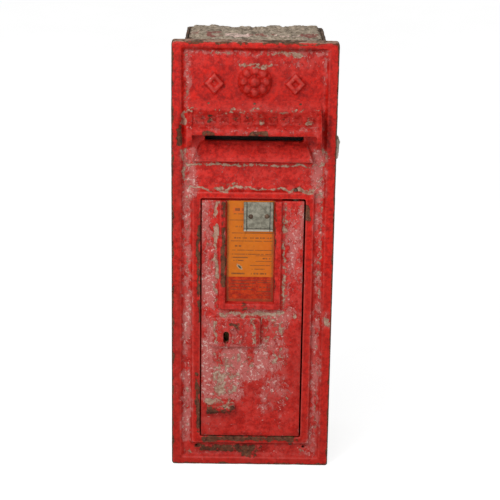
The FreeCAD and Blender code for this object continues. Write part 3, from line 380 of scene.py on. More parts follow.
def blend_colour(tree, amount, under, over, mode="MIX"):
    """Lays one colour over another."""
    made = put(tree, "ShaderNodeMix", {0: amount, 6: under, 7: over}, data_type="RGBA",
               blend_type=mode)
    return made.outputs[2]


def blend_value(tree, amount, a, b):
    """Mixes two values."""
    return put(tree, "ShaderNodeMix", {0: amount, 2: a, 3: b}, data_type="FLOAT").outputs[0]


def ramp_value(tree, value, low, high, out_low=0.0, out_high=1.0, eased=True):
    """Maps a value from one range to another."""
    made = put(tree, "ShaderNodeMapRange",
               {"Value": value, "From Min": low, "From Max": high, "To Min": out_low,
                "To Max": out_high}, interpolation_type="SMOOTHSTEP" if eased else "LINEAR")
    return made.outputs[0]


def tone(r, g, b):
    """A colour with full alpha."""
    return (r, g, b, 1.0)


def new_group(name, inputs, outputs):
    """An empty shader node group with named inputs (with defaults) and outputs."""
    group = bpy.data.node_groups.new(name, "ShaderNodeTree")
    for label, default in inputs.items():
        kind = "NodeSocketColor" if isinstance(default, tuple) else "NodeSocketFloat"
        socket = group.interface.new_socket(label, in_out="INPUT", socket_type=kind)
        socket.default_value = default
    for label, kind in outputs.items():
        group.interface.new_socket(label, in_out="OUTPUT", socket_type=kind)
    return group, group.nodes.new("NodeGroupInput").outputs, group.nodes.new("NodeGroupOutput").inputs


def patch_group():
    """Chipped patches: Cover 0 to 1 gives how much of the surface the mask takes up."""
    group, given, result = new_group(
        "Paint patches", {"Cover": 0.5, "Cell mm": 8.0, "Stretch": 1.0, "Seed": 0.0, "Softness": 0.08},
        {"Mask": "NodeSocketFloat"})
    place = put(group, "ShaderNodeTexCoord").outputs["Object"]
    shift = put(group, "ShaderNodeCombineXYZ", {0: given["Seed"], 1: given["Seed"], 2: given["Seed"]})
    grow = put(group, "ShaderNodeCombineXYZ", {0: 1.0, 1: 1.0, 2: given["Stretch"]})
    place = put(group, "ShaderNodeVectorMath", {0: place, 1: grow.outputs[0]}, operation="MULTIPLY")
    place = put(group, "ShaderNodeVectorMath", {0: place.outputs[0], 1: shift.outputs[0]})
    scale = calc(group, "DIVIDE", 1000.0, given["Cell mm"])
    grain = put(group, "ShaderNodeTexNoise",
                {"Vector": place.outputs[0], "Scale": scale, "Detail": 6.0, "Roughness": 0.66,
                 "Distortion": 0.5})
    level = ramp_value(group, grain.outputs[0], 0.30, 0.70, eased=False)
    span = calc(group, "MULTIPLY_ADD", given["Softness"], 2.0, 1.0)
    reach = times(group, given["Cover"], span)
    reach = calc(group, "SUBTRACT", reach, given["Softness"])
    over = calc(group, "SUBTRACT", reach, level)
    low = times(group, given["Softness"], -1.0)
    group.links.new(ramp_value(group, over, low, given["Softness"]), result["Mask"])
    return group


def grain_group():
    """Brush marks, orange peel and pitting: a Shade round 0.5 and a Height."""
    group, given, result = new_group(
        "Cast grain", {"Cell mm": 4.0, "Seed": 0.0},
        {"Shade": "NodeSocketFloat", "Broad": "NodeSocketFloat", "Height": "NodeSocketFloat"})
    place = put(group, "ShaderNodeTexCoord").outputs["Object"]
    shift = put(group, "ShaderNodeCombineXYZ", {0: given["Seed"], 1: given["Seed"], 2: given["Seed"]})
    place = put(group, "ShaderNodeVectorMath", {0: place, 1: shift.outputs[0]}).outputs[0]
    scale = calc(group, "DIVIDE", 1000.0, given["Cell mm"])
    fine = put(group, "ShaderNodeTexNoise", {"Vector": place, "Scale": scale, "Detail": 7.0,
                                             "Roughness": 0.7}).outputs[0]
    broad_scale = calc(group, "DIVIDE", scale, 9.0)
    broad = put(group, "ShaderNodeTexNoise", {"Vector": place, "Scale": broad_scale, "Detail": 4.0,
                                              "Roughness": 0.6}).outputs[0]
    pits = put(group, "ShaderNodeTexVoronoi", {"Vector": place, "Scale": scale}).outputs[0]
    dip = ramp_value(group, pits, 0.0, 0.35, 0.0, 1.0)
    height = blend_value(group, 0.35, fine, dip)
    group.links.new(fine, result["Shade"])
    group.links.new(ramp_value(group, broad, 0.3, 0.7), result["Broad"])
    group.links.new(height, result["Height"])
    return group


PATCHES = patch_group()
GRAIN = grain_group()


def patches(tree, cover, cell, seed, softness=0.08, stretch=1.0):
    """A chipped mask in a material."""
    made = put(tree, "ShaderNodeGroup", {"Cover": cover, "Cell mm": cell, "Seed": seed,
                                         "Softness": softness, "Stretch": stretch}, node_tree=PATCHES)
    return made.outputs["Mask"]


def grain(tree, cell, seed):
    """Cast grain in a material."""
    return put(tree, "ShaderNodeGroup", {"Cell mm": cell, "Seed": seed}, node_tree=GRAIN).outputs


def layer(tree, name):
    """A paint layer's stored cover."""
    return put(tree, "ShaderNodeAttribute", attribute_name=name).outputs["Fac"]


def new_material(name):
    """An empty material with its shader: returns the material, its tree and the shader node."""
    material = bpy.data.materials.new(name)
    material.use_nodes = True
    return material, material.node_tree, material.node_tree.nodes["Principled BSDF"]


def finish_surface(tree, shader, colour, rough, height, distance_mm, metallic=None):
    """Feeds the shader its colour, roughness and relief."""
    tree.links.new(colour, shader.inputs["Base Color"])
    tree.links.new(rough, shader.inputs["Roughness"])
    if metallic is not None:
        tree.links.new(metallic, shader.inputs["Metallic"])
    bump = put(tree, "ShaderNodeBump", {"Height": height, "Distance": distance_mm * MM,
                                        "Strength": 1.0})
    tree.links.new(bump.outputs[0], shader.inputs["Normal"])


# ---- materials -----------------------------------------------------------------------------------
RED_DEEP = tone(0.330, 0.005, 0.003)
RED_BRIGHT = tone(0.715, 0.014, 0.006)
RED_HIGHLIGHT_RUBBED = tone(0.760, 0.090, 0.070)
RED_DULL = tone(0.340, 0.028, 0.020)
CHALK_ROSE = tone(0.520, 0.170, 0.155)
CHALK_PALE = tone(0.700, 0.480, 0.430)
PUTTY = tone(0.300, 0.200, 0.130)
PUTTY_PALE = tone(0.520, 0.420, 0.320)
IRON_BROWN = tone(0.150, 0.085, 0.045)
IRON_DARK = tone(0.035, 0.026, 0.018)
RUST = tone(0.230, 0.060, 0.025)
# multiplied over the paint for soiling and painted shade
SHADE_AND_GRIME = tone(0.42, 0.30, 0.24)


def chip_edge(tree, mask):
    """The dark line round a chipped patch."""
    return times(tree, times(tree, mask, calc(tree, "SUBTRACT", 1.0, mask)), 4.0)


def painted_iron(name, seed, gloss=0.30, faded=0.0):
    """Many coats of red paint on cast iron: chalked, chipped to undercoat and to bare metal."""
    material, tree, shader = new_material(name)
    fine = grain(tree, 4.2, seed)
    wide = grain(tree, 11.0, seed + 3.0)
    shade = blend_value(tree, 0.55, fine["Shade"], wide["Shade"])
    red = blend_colour(tree, ramp_value(tree, shade, 0.38, 0.60), RED_DEEP, RED_BRIGHT)
    dull = calc(tree, "MULTIPLY_ADD", layer(tree, "fade"), 0.85, faded, clamp=True)
    dull = times(tree, dull, ramp_value(tree, wide["Shade"], 0.32, 0.68, 0.35, 1.0))
    red = blend_colour(tree, dull, red, RED_DULL)
    nicks = patches(tree, 0.16, 5.0, seed + 6.0, 0.08)
    red = blend_colour(tree, times(tree, nicks, 0.6), red, tone(0.16, 0.012, 0.008))
    # painted highlight: ridges lightened to a brighter red, for light catching the edges as well as rubbed
    # paint
    red = blend_colour(tree, times(tree, layer(tree, "ridge"), 0.45), red, RED_HIGHLIGHT_RUBBED)

    chalk_cover = layer(tree, "chalk")
    bloom = times(tree, chalk_cover, ramp_value(tree, wide["Shade"], 0.40, 0.62, 0.04, 0.55))
    flecks = patches(tree, times(tree, chalk_cover, 0.82), 5.0, seed + 9.0, 0.09, 0.7)
    blots = patches(tree, times(tree, chalk_cover, 0.7), 13.0, seed + 12.0, 0.10, 0.55)
    cover = calc(tree, "MAXIMUM", times(tree, flecks, 0.72), times(tree, blots, 0.6))
    cover = calc(tree, "MAXIMUM", cover, bloom)
    colour = blend_colour(tree, cover, red, CHALK_ROSE)
    pale_cover = calc(tree, "MULTIPLY_ADD", chalk_cover, 0.36, 0.035)
    pale = patches(tree, pale_cover, 4.6, seed + 15.0, 0.08)
    colour = blend_colour(tree, times(tree, pale, 0.78), colour, CHALK_PALE)

    putty_mask = patches(tree, layer(tree, "putty"), 6.5, seed + 18.0, 0.12, 0.8)
    putty_colour = blend_colour(tree, ramp_value(tree, fine["Shade"], 0.36, 0.64), PUTTY, PUTTY_PALE)
    colour = blend_colour(tree, times(tree, putty_mask, 0.82), colour, putty_colour)
    bare_mask = patches(tree, layer(tree, "bare"), 8.0, seed + 21.0, 0.10, 0.8)
    rust = patches(tree, 0.38, 5.0, seed + 24.0, 0.2)
    bare_colour = blend_colour(tree, ramp_value(tree, shade, 0.38, 0.62), IRON_DARK, IRON_BROWN)
    bare_colour = blend_colour(tree, times(tree, rust, 0.5), bare_colour, RUST)
    dusty = patches(tree, 0.25, 4.4, seed + 27.0, 0.12)
    bare_colour = blend_colour(tree, times(tree, dusty, 0.5), bare_colour, PUTTY)
    colour = blend_colour(tree, times(tree, bare_mask, 0.90), colour, bare_colour)
    # soiling and painted shade: the stored layer with its painted shadows and shaded hollows, plus dark
    # lines round chips
    dirt_and_shade = times(tree, layer(tree, "grime_and_shade"), ramp_value(tree, shade, 0.30, 0.70, 1.0, 0.5))
    rims = calc(tree, "MAXIMUM", chip_edge(tree, putty_mask), chip_edge(tree, flecks))
    dirt_and_shade = calc(tree, "MAXIMUM", dirt_and_shade, times(tree, rims, 0.55))
    colour = blend_colour(tree, dirt_and_shade, colour, SHADE_AND_GRIME, "MULTIPLY")

    worn = calc(tree, "MAXIMUM", calc(tree, "MAXIMUM", cover, putty_mask), bare_mask)
    rough = ramp_value(tree, worn, 0.0, 0.9, gloss, 0.88)
    rough = calc(tree, "MULTIPLY_ADD", fine["Shade"], 0.20, rough, clamp=True)
    height = calc(tree, "MULTIPLY_ADD", bare_mask, -0.8, fine["Height"])
    height = calc(tree, "MULTIPLY_ADD", putty_mask, -0.35, height)
    height = calc(tree, "MULTIPLY_ADD", cover, -0.25, height)
    height = calc(tree, "MULTIPLY_ADD", wide["Height"], 0.8, height)
    finish_surface(tree, shader, colour, rough, height, 0.75)
    shader.inputs["Specular IOR Level"].default_value = 0.18
    return material


def weathered_iron(name, seed):
    """Rough unpainted casting that was built into a wall: rust, lime and dusty red overspray."""
    material, tree, shader = new_material(name)
    fine = grain(tree, 2.2, seed)
    wide = grain(tree, 8.0, seed + 4.0)
    iron = blend_colour(tree, ramp_value(tree, wide["Shade"], 0.36, 0.64), tone(0.055, 0.036, 0.026),
                        tone(0.175, 0.105, 0.062))
    rust = patches(tree, 0.40, 16.0, seed + 2.0, 0.30)
    iron = blend_colour(tree, times(tree, rust, 0.6), iron, tone(0.225, 0.088, 0.036))
    scale = patches(tree, 0.25, 6.0, seed + 5.0, 0.12)
    iron = blend_colour(tree, times(tree, scale, 0.6), iron, tone(0.030, 0.022, 0.018))
    lime = patches(tree, 0.46, 42.0, seed + 7.0, 0.30)
    lime_fine = patches(tree, 0.45, 7.0, seed + 8.0, 0.16)
    lime = times(tree, lime, calc(tree, "MULTIPLY_ADD", lime_fine, 0.62, 0.05))
    lime_colour = blend_colour(tree, fine["Shade"], tone(0.24, 0.195, 0.145), tone(0.46, 0.40, 0.32))
    colour = blend_colour(tree, lime, iron, lime_colour)
    dust = patches(tree, 0.13, 34.0, seed + 11.0, 0.14)
    colour = blend_colour(tree, times(tree, dust, 0.5), colour, tone(0.300, 0.075, 0.060))
    rough = ramp_value(tree, fine["Shade"], 0.2, 0.8, 0.78, 0.97)
    height = calc(tree, "MULTIPLY_ADD", rust, -0.5, fine["Height"])
    height = calc(tree, "MULTIPLY_ADD", lime, 0.7, height)
    finish_surface(tree, shader, colour, rough, height, 0.6)
    return material


def wall_mortar(name, seed, lime=0.0):
    """Old lime mortar with brick dust, pale pink paint and a greenish bloom; lime makes it paler."""
    material, tree, shader = new_material(name)
    fine = grain(tree, 3.2, seed)
    wide = grain(tree, 8.0, seed + 4.0)
    body = blend_colour(tree, ramp_value(tree, wide["Shade"], 0.36, 0.64), tone(0.280, 0.215, 0.150),
                        tone(0.600, 0.485, 0.370))
    shadow = patches(tree, 0.34, 9.0, seed + 2.0, 0.12, 1.0)
    body = blend_colour(tree, times(tree, shadow, 0.7), body, tone(0.085, 0.062, 0.042))
    green = patches(tree, 0.25, 24.0, seed + 5.0, 0.3)
    body = blend_colour(tree, times(tree, green, 0.35), body, tone(0.30, 0.31, 0.22))
    body = blend_colour(tree, lime, body, tone(0.66, 0.66, 0.56))
    pink = patches(tree, layer(tree, "pink"), 9.0, seed + 9.0, 0.12)
    body = blend_colour(tree, times(tree, pink, 0.9), body, tone(0.86, 0.62, 0.54))
    brick = patches(tree, layer(tree, "brick"), 9.0, seed + 13.0, 0.12)
    body = blend_colour(tree, times(tree, brick, 0.85), body, tone(0.31, 0.082, 0.066))
    rough = ramp_value(tree, fine["Shade"], 0.2, 0.8, 0.86, 1.0)
    finish_surface(tree, shader, body, rough, fine["Height"], 0.9)
    return material


def old_metal(name, seed, dark, light, metallic, smoothness, tarnish=0.35):
    """Handled metal: stained, scratched and dull in patches."""
    material, tree, shader = new_material(name)
    fine = grain(tree, 1.5, seed)
    wide = grain(tree, 5.0, seed + 2.0)
    colour = blend_colour(tree, wide["Broad"], light, dark)
    colour = blend_colour(tree, times(tree, fine["Shade"], 0.4), colour, dark)
    stain = patches(tree, tarnish, 4.0, seed + 5.0, 0.2)
    colour = blend_colour(tree, times(tree, stain, 0.7), colour,
                          tone(dark[0] * 0.35, dark[1] * 0.30, dark[2] * 0.28))
    rough = calc(tree, "MULTIPLY_ADD", fine["Shade"], 0.35, smoothness, clamp=True)
    rough = blend_value(tree, stain, rough, 0.85)
    metal = blend_value(tree, stain, metallic, metallic * 0.25)
    finish_surface(tree, shader, colour, rough, fine["Height"], 0.12, metal)
    return material


def surface_mm(tree):
    """Millimetres across and up the front."""
    place = put(tree, "ShaderNodeTexCoord").outputs["Object"]
    axes = put(tree, "ShaderNodeSeparateXYZ", {0: place}).outputs
    return times(tree, axes[0], 1000.0), times(tree, axes[2], 1000.0)


def band(tree, value, middle, inner, outer):
    """A stripe: 1 within inner of the middle, 0 beyond outer."""
    away = calc(tree, "ABSOLUTE", calc(tree, "SUBTRACT", value, middle))
    return ramp_value(tree, away, inner, outer, 1.0, 0.0)


def ruled_line(tree, x, z, row):
    """A mask for one broken printed line: row is z, x0, x1, thickness, dash length, gaps."""
    z_mid, x0, x1, thick, dash, gaps = row
    across = band(tree, z, z_mid, thick * 0.5, thick * 0.5 + 0.35)
    left = ramp_value(tree, x, x0 - 0.4, x0 + 0.4)
    right = ramp_value(tree, x, x1 - 0.4, x1 + 0.4, 1.0, 0.0)
    mask = times(tree, across, times(tree, left, right))
    if gaps > 0:
        place = put(tree, "ShaderNodeCombineXYZ", {0: calc(tree, "DIVIDE", x, dash), 1: z_mid * 3.7})
        dots = put(tree, "ShaderNodeTexNoise", {"Vector": place.outputs[0], "Scale": 1.0,
                                                "Detail": 1.0})
        mask = times(tree, mask, ramp_value(tree, dots.outputs[0], gaps - 0.03, gaps + 0.03))
    return mask


NOTICE_SPLIT = 322.2  # height where orange meets red
NOTICE_MIDDLE = -3.7
NOTICE_HEAD = 431.0  # height of the reddened heading
NOTICE_CHIP = (-20.0, 338.5)  # x and z of the chip
NOTICE_ROWS = [
    (432, -28, -12, 4.0, 5, 0.42), (425, -30, -13, 1.0, 5, 0.35), (415, -36, -14, 0.7, 6, 0.30),
    (404.5, -27, -17, 2.2, 2.6, 0.48), (394, -33, 32, 0.8, 9, 0.0), (386, -30, 30, 2.0, 2.2, 0.47),
    (381, -34, 31, 0.8, 6, 0.36), (373, -28, -18, 2.2, 2.4, 0.44), (373, -8, 8, 1.6, 3, 0.60),
    (366, -32, 31, 0.8, 7, 0.40), (359.5, -34, 30, 1.0, 3.5, 0.40), (354, -33, -6, 1.6, 2.4, 0.42),
    (349, -30, -14, 1.4, 2.6, 0.42), (348, 5, 31, 0.7, 9, 0.0), (357, 5, 31, 0.7, 9, 0.0),
    (352.5, 16, 28, 2.0, 2.2, 0.46), (341, -4, 30, 0.8, 6, 0.42), (335, -2, 20, 1.0, 3.5, 0.48),
    (327.5, -33, -12, 2.2, 2.4, 0.42), (327.5, -2, 22, 2.2, 2.4, 0.42),
    (316, -34, 30, 0.8, 5, 0.35), (311, -34, 4, 1.2, 2.6, 0.40), (306, -34, 4, 1.2, 2.6, 0.42),
    (301, -34, 2, 1.0, 2.6, 0.46), (313, 8, 30, 0.8, 9, 0.0), (298, 8, 30, 0.8, 9, 0.0),
    (305, 10, 28, 1.8, 2.4, 0.46), (292, -34, 28, 0.8, 4, 0.50),
]


def enamel_notice(name, seed):
    """Orange and red vitreous enamel with broken ruled lines, a chip, rust, and soiling with painted shade
    along the edges.
    """
    material, tree, shader = new_material(name)
    x, z = surface_mm(tree)
    fine = grain(tree, 2.5, seed)
    wide = grain(tree, 6.0, seed + 3.0)
    orange = blend_colour(tree, wide["Shade"], tone(0.520, 0.115, 0.006), tone(0.700, 0.190, 0.010))
    glow = ramp_value(tree, x, -6.0, 34.0)
    orange = blend_colour(tree, times(tree, glow, 0.35), orange, tone(0.66, 0.115, 0.008))
    red = blend_colour(tree, ramp_value(tree, wide["Shade"], 0.38, 0.62), tone(0.330, 0.014, 0.003),
                       tone(0.560, 0.042, 0.004))
    colour = blend_colour(tree, ramp_value(tree, z, NOTICE_SPLIT - 0.4, NOTICE_SPLIT + 0.4), red, orange)
    head = band(tree, z, NOTICE_HEAD, 4.0, 5.5)
    head = times(tree, head, ramp_value(tree, x, -15.0, -13.5, 1.0, 0.0))
    head = times(tree, head, ramp_value(tree, x, -32.0, -30.5))
    colour = blend_colour(tree, times(tree, head, 0.35), colour, tone(0.70, 0.09, 0.02))
    ink = None
    for row in NOTICE_ROWS:
        mask = ruled_line(tree, x, z, row)
        ink = mask if ink is None else calc(tree, "MAXIMUM", ink, mask)
    fade = ramp_value(tree, fine["Shade"], 0.3, 0.7, 0.50, 0.90)
    colour = blend_colour(tree, times(tree, ink, fade), colour, tone(0.10, 0.045, 0.020))
    chip_x, chip_z = (calc(tree, "SUBTRACT", v, at) for v, at in zip((x, z), NOTICE_CHIP))
    chip_place = put(tree, "ShaderNodeCombineXYZ", {
        0: times(tree, calc(tree, "SUBTRACT", chip_x, chip_z), 0.40),
        1: times(tree, calc(tree, "ADD", chip_x, chip_z), 0.95)})
    reach = put(tree, "ShaderNodeVectorMath", {0: chip_place.outputs[0]}, operation="LENGTH")
    ragged = calc(tree, "MULTIPLY_ADD", fine["Shade"], 7.0, reach.outputs["Value"])
    chip = ramp_value(tree, ragged, 6.6, 7.4, 1.0, 0.0)
    core = ramp_value(tree, ragged, 5.0, 5.6, 1.0, 0.0)
    colour = blend_colour(tree, times(tree, chip, 0.8), colour, tone(0.42, 0.33, 0.20))
    colour = blend_colour(tree, core, colour, tone(0.05, 0.06, 0.05))
    # brown edge darkening along the sides and bottom: soiling, and painted shade beside the surrounding
    # frame
    edge_x = ramp_value(tree, calc(tree, "ABSOLUTE", calc(tree, "SUBTRACT", x, NOTICE_MIDDLE)), 29.0, 36.5)
    edge_z = ramp_value(tree, z, 281.0, 290.0, 1.0, 0.0)
    grime_and_shade = calc(tree, "MAXIMUM", times(tree, edge_x, 0.75), edge_z)
    edge_dirt_and_shade = patches(tree, grime_and_shade, 4.0, seed + 8.0, 0.35)
    colour = blend_colour(tree, times(tree, edge_dirt_and_shade, 0.55), colour, tone(0.16, 0.07, 0.03))
    shader.inputs["Specular IOR Level"].default_value = 0.22
    rough = ramp_value(tree, calc(tree, "MAXIMUM", edge_dirt_and_shade, chip), 0.0, 1.0, 0.24, 0.75)
    height = calc(tree, "MULTIPLY_ADD", chip, -1.0, times(tree, fine["Shade"], 0.08))
    finish_surface(tree, shader, colour, rough, height, 0.25)
    return material


def tablet_zinc(name, seed):
    """Dull mottled zinc with painted shade as dark lines along the folds, the side edges and above the
    lower lip, and paler on the lower lip.
    """
    material, tree, shader = new_material(name)
    low, high = (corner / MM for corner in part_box("tablet_pocket"))
    x, z = surface_mm(tree)
    fine, wide = grain(tree, 2.6, seed), grain(tree, 7.0, seed + 3.0)
    colour = blend_colour(tree, ramp_value(tree, wide["Shade"], 0.35, 0.65), tone(0.150, 0.140, 0.100),
                          tone(0.330, 0.310, 0.240))
    middle = calc(tree, "ABSOLUTE", calc(tree, "SUBTRACT", x, (low.x + high.x) / 2))
    half = (high.x - low.x) / 2
    # painted shade: dark lines along the side folds, the outer side edges and the top of the lower lip
    fold_shade = band(tree, middle, half - 4.9, 0.5, 1.2)
    rim = ramp_value(tree, middle, half - 0.9, half - 0.3)
    lip = ramp_value(tree, z, low.z + 2.6, low.z + 3.2, 1.0, 0.0)
    under = band(tree, z, low.z + 3.6, 0.5, 1.0)
    dark = calc(tree, "MAXIMUM", calc(tree, "MAXIMUM", fold_shade, rim), under)
    dark = times(tree, dark, ramp_value(tree, fine["Shade"], 0.35, 0.60, 0.35, 0.9))
    colour = blend_colour(tree, times(tree, lip, 0.6), colour, tone(0.56, 0.50, 0.40))
    colour = blend_colour(tree, dark, colour, tone(0.045, 0.038, 0.026))
    colour = blend_colour(tree, patches(tree, 0.10, 5.0, seed + 6.0), colour, tone(0.16, 0.07, 0.035))
    rough = calc(tree, "MULTIPLY_ADD", fine["Shade"], 0.3, 0.42, clamp=True)
    finish_surface(tree, shader, colour, rough, fine["Height"], 0.15)
    shader.inputs["Metallic"].default_value = 0.2
    return material


PAINT_FRAME = painted_iron("Frame paint", 1.0)
PAINT_DOOR = painted_iron("Door paint", 31.0, 0.32)
PAINT_HOOD = painted_iron("Hood paint", 61.0, 0.38, 0.25)
IRON = weathered_iron("Built-in iron", 5.0)
MORTAR = wall_mortar("Wall mortar", 8.0)
MORTAR_PALE = wall_mortar("Pale mortar", 18.0, 0.42)
STEEL = old_metal("Rusty steel", 3.0, tone(0.085, 0.052, 0.034), tone(0.26, 0.165, 0.105), 0.55, 0.45)
GALVANISED = old_metal("Galvanised sheet", 13.0, tone(0.05, 0.047, 0.042), tone(0.16, 0.155, 0.145),
                       0.6, 0.45, 0.3)
BRASS = old_metal("Lock brass", 33.0, tone(0.12, 0.075, 0.025), tone(0.36, 0.24, 0.085), 0.8, 0.34, 0.4)
ENAMEL = enamel_notice("Notice enamel", 43.0)
ZINC = tablet_zinc("Tablet pocket zinc", 27.0)


# ---- castings ------------------------------------------------------------------------------------
HINGE_X, HINGE_Y = 65.5, 9.0  # pin axis, in front millimetres
BORE_CLEAR = 4.4  # radius kept open
DOOR_LOW, DOOR_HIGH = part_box("door")


def steady_edges(limits):
    """Less unevenness on faces that run close to another casting."""
    low, high = limits

    def shape(q, normals, lift):
        x_face = smooth_step(np.abs(normals[:, 0]), 0.5, 0.9)
        z_face = smooth_step(np.abs(normals[:, 2]), 0.5, 0.9)
        close = np.maximum(x_face, z_face)
        near = (smooth_step(q[:, 2], low[2] - 6, low[2] - 2)
                * smooth_step(-q[:, 2], -high[2] - 6, -high[2] - 2)
                * smooth_step(np.abs(q[:, 0]), 70, 76))
        edge = (np.abs(q[:, 2] - low[2]) < 5) | (np.abs(q[:, 2] - high[2]) < 5)
        near = np.maximum(near, edge)
        return lift * (1 - 0.75 * close * near) - 0.10 * close * near
    return shape


def clear_bores(points):
    """Keeps the hinge bores open round the pins."""
    q = front_mm(points.copy())
    dx, dy = q[:, 0] - HINGE_X, q[:, 1] - HINGE_Y
    reach = np.hypot(dx, dy)
    near = (reach < 6.0) & (reach > 0.3)
    grow = np.where(near, np.maximum(reach, BORE_CLEAR) / np.maximum(reach, 0.01), 1.0)
    q[:, 0], q[:, 1] = HINGE_X + dx * grow, HINGE_Y + dy * grow
    q[:, 1] += FACE_MM
    return q * MM


STEADY = steady_edges(([v / MM for v in DOOR_LOW], [v / MM for v in DOOR_HIGH]))
cast_piece("front_casting", "front_frame", "box", 1.3, FRAME_PATCHES, 11, 0.34, 0.35, PAINT_FRAME,
           shape=STEADY)
cast_piece("door_casting", "door", "door", 1.1, DOOR_PATCHES, 37, 0.30, 0.35, PAINT_DOOR,
           shape=STEADY, fit=clear_bores)
cast_piece("hood_casting", "aperture_hood", "box", 1.0, HOOD_PATCHES, 53, 0.30, 0.40, PAINT_HOOD)
for name, node, body, voxel, seed, uneven in (
        ("cover_casting", "keyhole_cover", "keyhole_cover", 0.45, 71, 0.12),
        ("cover_rivet", "cover_pivot", "door", 0.35, 75, 0.08),
        ("worn_boss_rivet", "boss_rivet", "door", 0.35, 77, 0.08)):
    cast_piece(name, node, body, voxel, SMALL_PATCHES, seed, uneven, 0.5, PAINT_DOOR)
CASING = enumerate(("left", "right", "top", "bottom"))
BARE_IRON = [(f"{side}_plate", f"casing_{side}", 2.2, 81 + 7 * i, 0.7) for i, side in CASING]
BARE_IRON += [("rear_plate", "back_plate", 2.2, 121, 0.6), ("wall_tie_irons", "wall_ties", 1.2, 131, 0.5)]
for name, node, voxel, seed, uneven in BARE_IRON:
    cast_piece(name, node, "box", voxel, NO_PATCHES, seed, uneven, 0.5, IRON)


# ---- fittings kept as made -----------------------------------------------------------------------
def soften(obj, edge_mm):
    """Rounds the sharp edges."""
    soft = obj.modifiers.new("Soft edges", "BEVEL")
    soft.width = edge_mm * MM
    soft.segments = 2
    soft.limit_method = "ANGLE"
    soft.angle_limit = math.radians(38)


def dress(nodes, material, edge_mm):
    """Softens the edges of fittings and gives them their metal."""
    for node in nodes:
        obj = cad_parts[node]
        obj.data.materials.clear()
        obj.data.materials.append(material)
        weld = obj.modifiers.new("Joined", "WELD")
        weld.merge_threshold = 0.01 * MM
        soften(obj, edge_mm)


dress(("hood_screws", "plate_screws", "casing_bolts", "back_screws", "baffle_screws",
       "upper_hinge_pin", "lower_hinge_pin", "keep_screws", "lock_keep", "lever_post"), STEEL, 0.3)
dress(("tie_rivets",), IRON, 0.3)
dress(("letter_baffle",), GALVANISED, 0.3)
dress(("tablet_pocket",), ZINC, 0.25)
dress(("pocket_rivets",), STEEL, 0.2)
dress(("hinge_washer", "lock_case", "lock_cover", "lock_screws", "lock_bolt", "lever_1", "lever_2",
       "lever_3"), BRASS, 0.3)
dress(("notice_plate",), ENAMEL, 0.4)


# ---- lever springs -------------------------------------------------------------------------------
LEAF_FOOT = 8.0  # length screwed flat, millimetres
LEAF_WIDTH = 1.2


def leaf_spring(name, lever):
    """A flat steel leaf fixed in the lock case's roof and curved down over one lever."""
    low, high = (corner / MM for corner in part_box("lever_springs"))
    lever_low, lever_high = (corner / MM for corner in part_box(lever))
    middle = (lever_low.y + lever_high.y) / 2
    near, far = middle - LEAF_WIDTH / 2, middle + LEAF_WIDTH / 2
    reach, stations = high.x - low.x, 30
    sections = []
    for i in range(stations + 1):
        along = reach * i / stations
        slope = max(0.0, (along - LEAF_FOOT) / (reach - LEAF_FOOT))
        half = 0.50 - 0.12 * slope
        drop = (high.z - low.z - 2 * half) * (1.12 * slope - 0.12 * slope ** 6)
        z = high.z - half - drop
        x = high.x - along
        sections += [(x, near, z - half), (x, far, z - half), (x, far, z + half), (x, near, z + half)]
    faces = [(0, 1, 2, 3), tuple(4 * stations + k for k in (3, 2, 1, 0))]
    for i in range(stations):
        for k in range(4):
            a, b = 4 * i + k, 4 * i + (k + 1) % 4
            faces.append((a, a + 4, b + 4, b))
    blank = bpy.data.meshes.new(name)
    blank.from_pydata([tuple(c * MM for c in corner) for corner in sections], [], faces)
    obj = link(bpy.data.objects.new(name, blank))
    soften(obj, 0.12)
    mesh = evaluated_mesh(obj, name)
    obj.modifiers.clear()
    obj.data = mesh
    mesh.materials.append(STEEL)
    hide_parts("lever_springs")
    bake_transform(obj)


for i in (1, 2, 3):
    leaf_spring(f"lever_spring_{i}", f"lever_{i}")


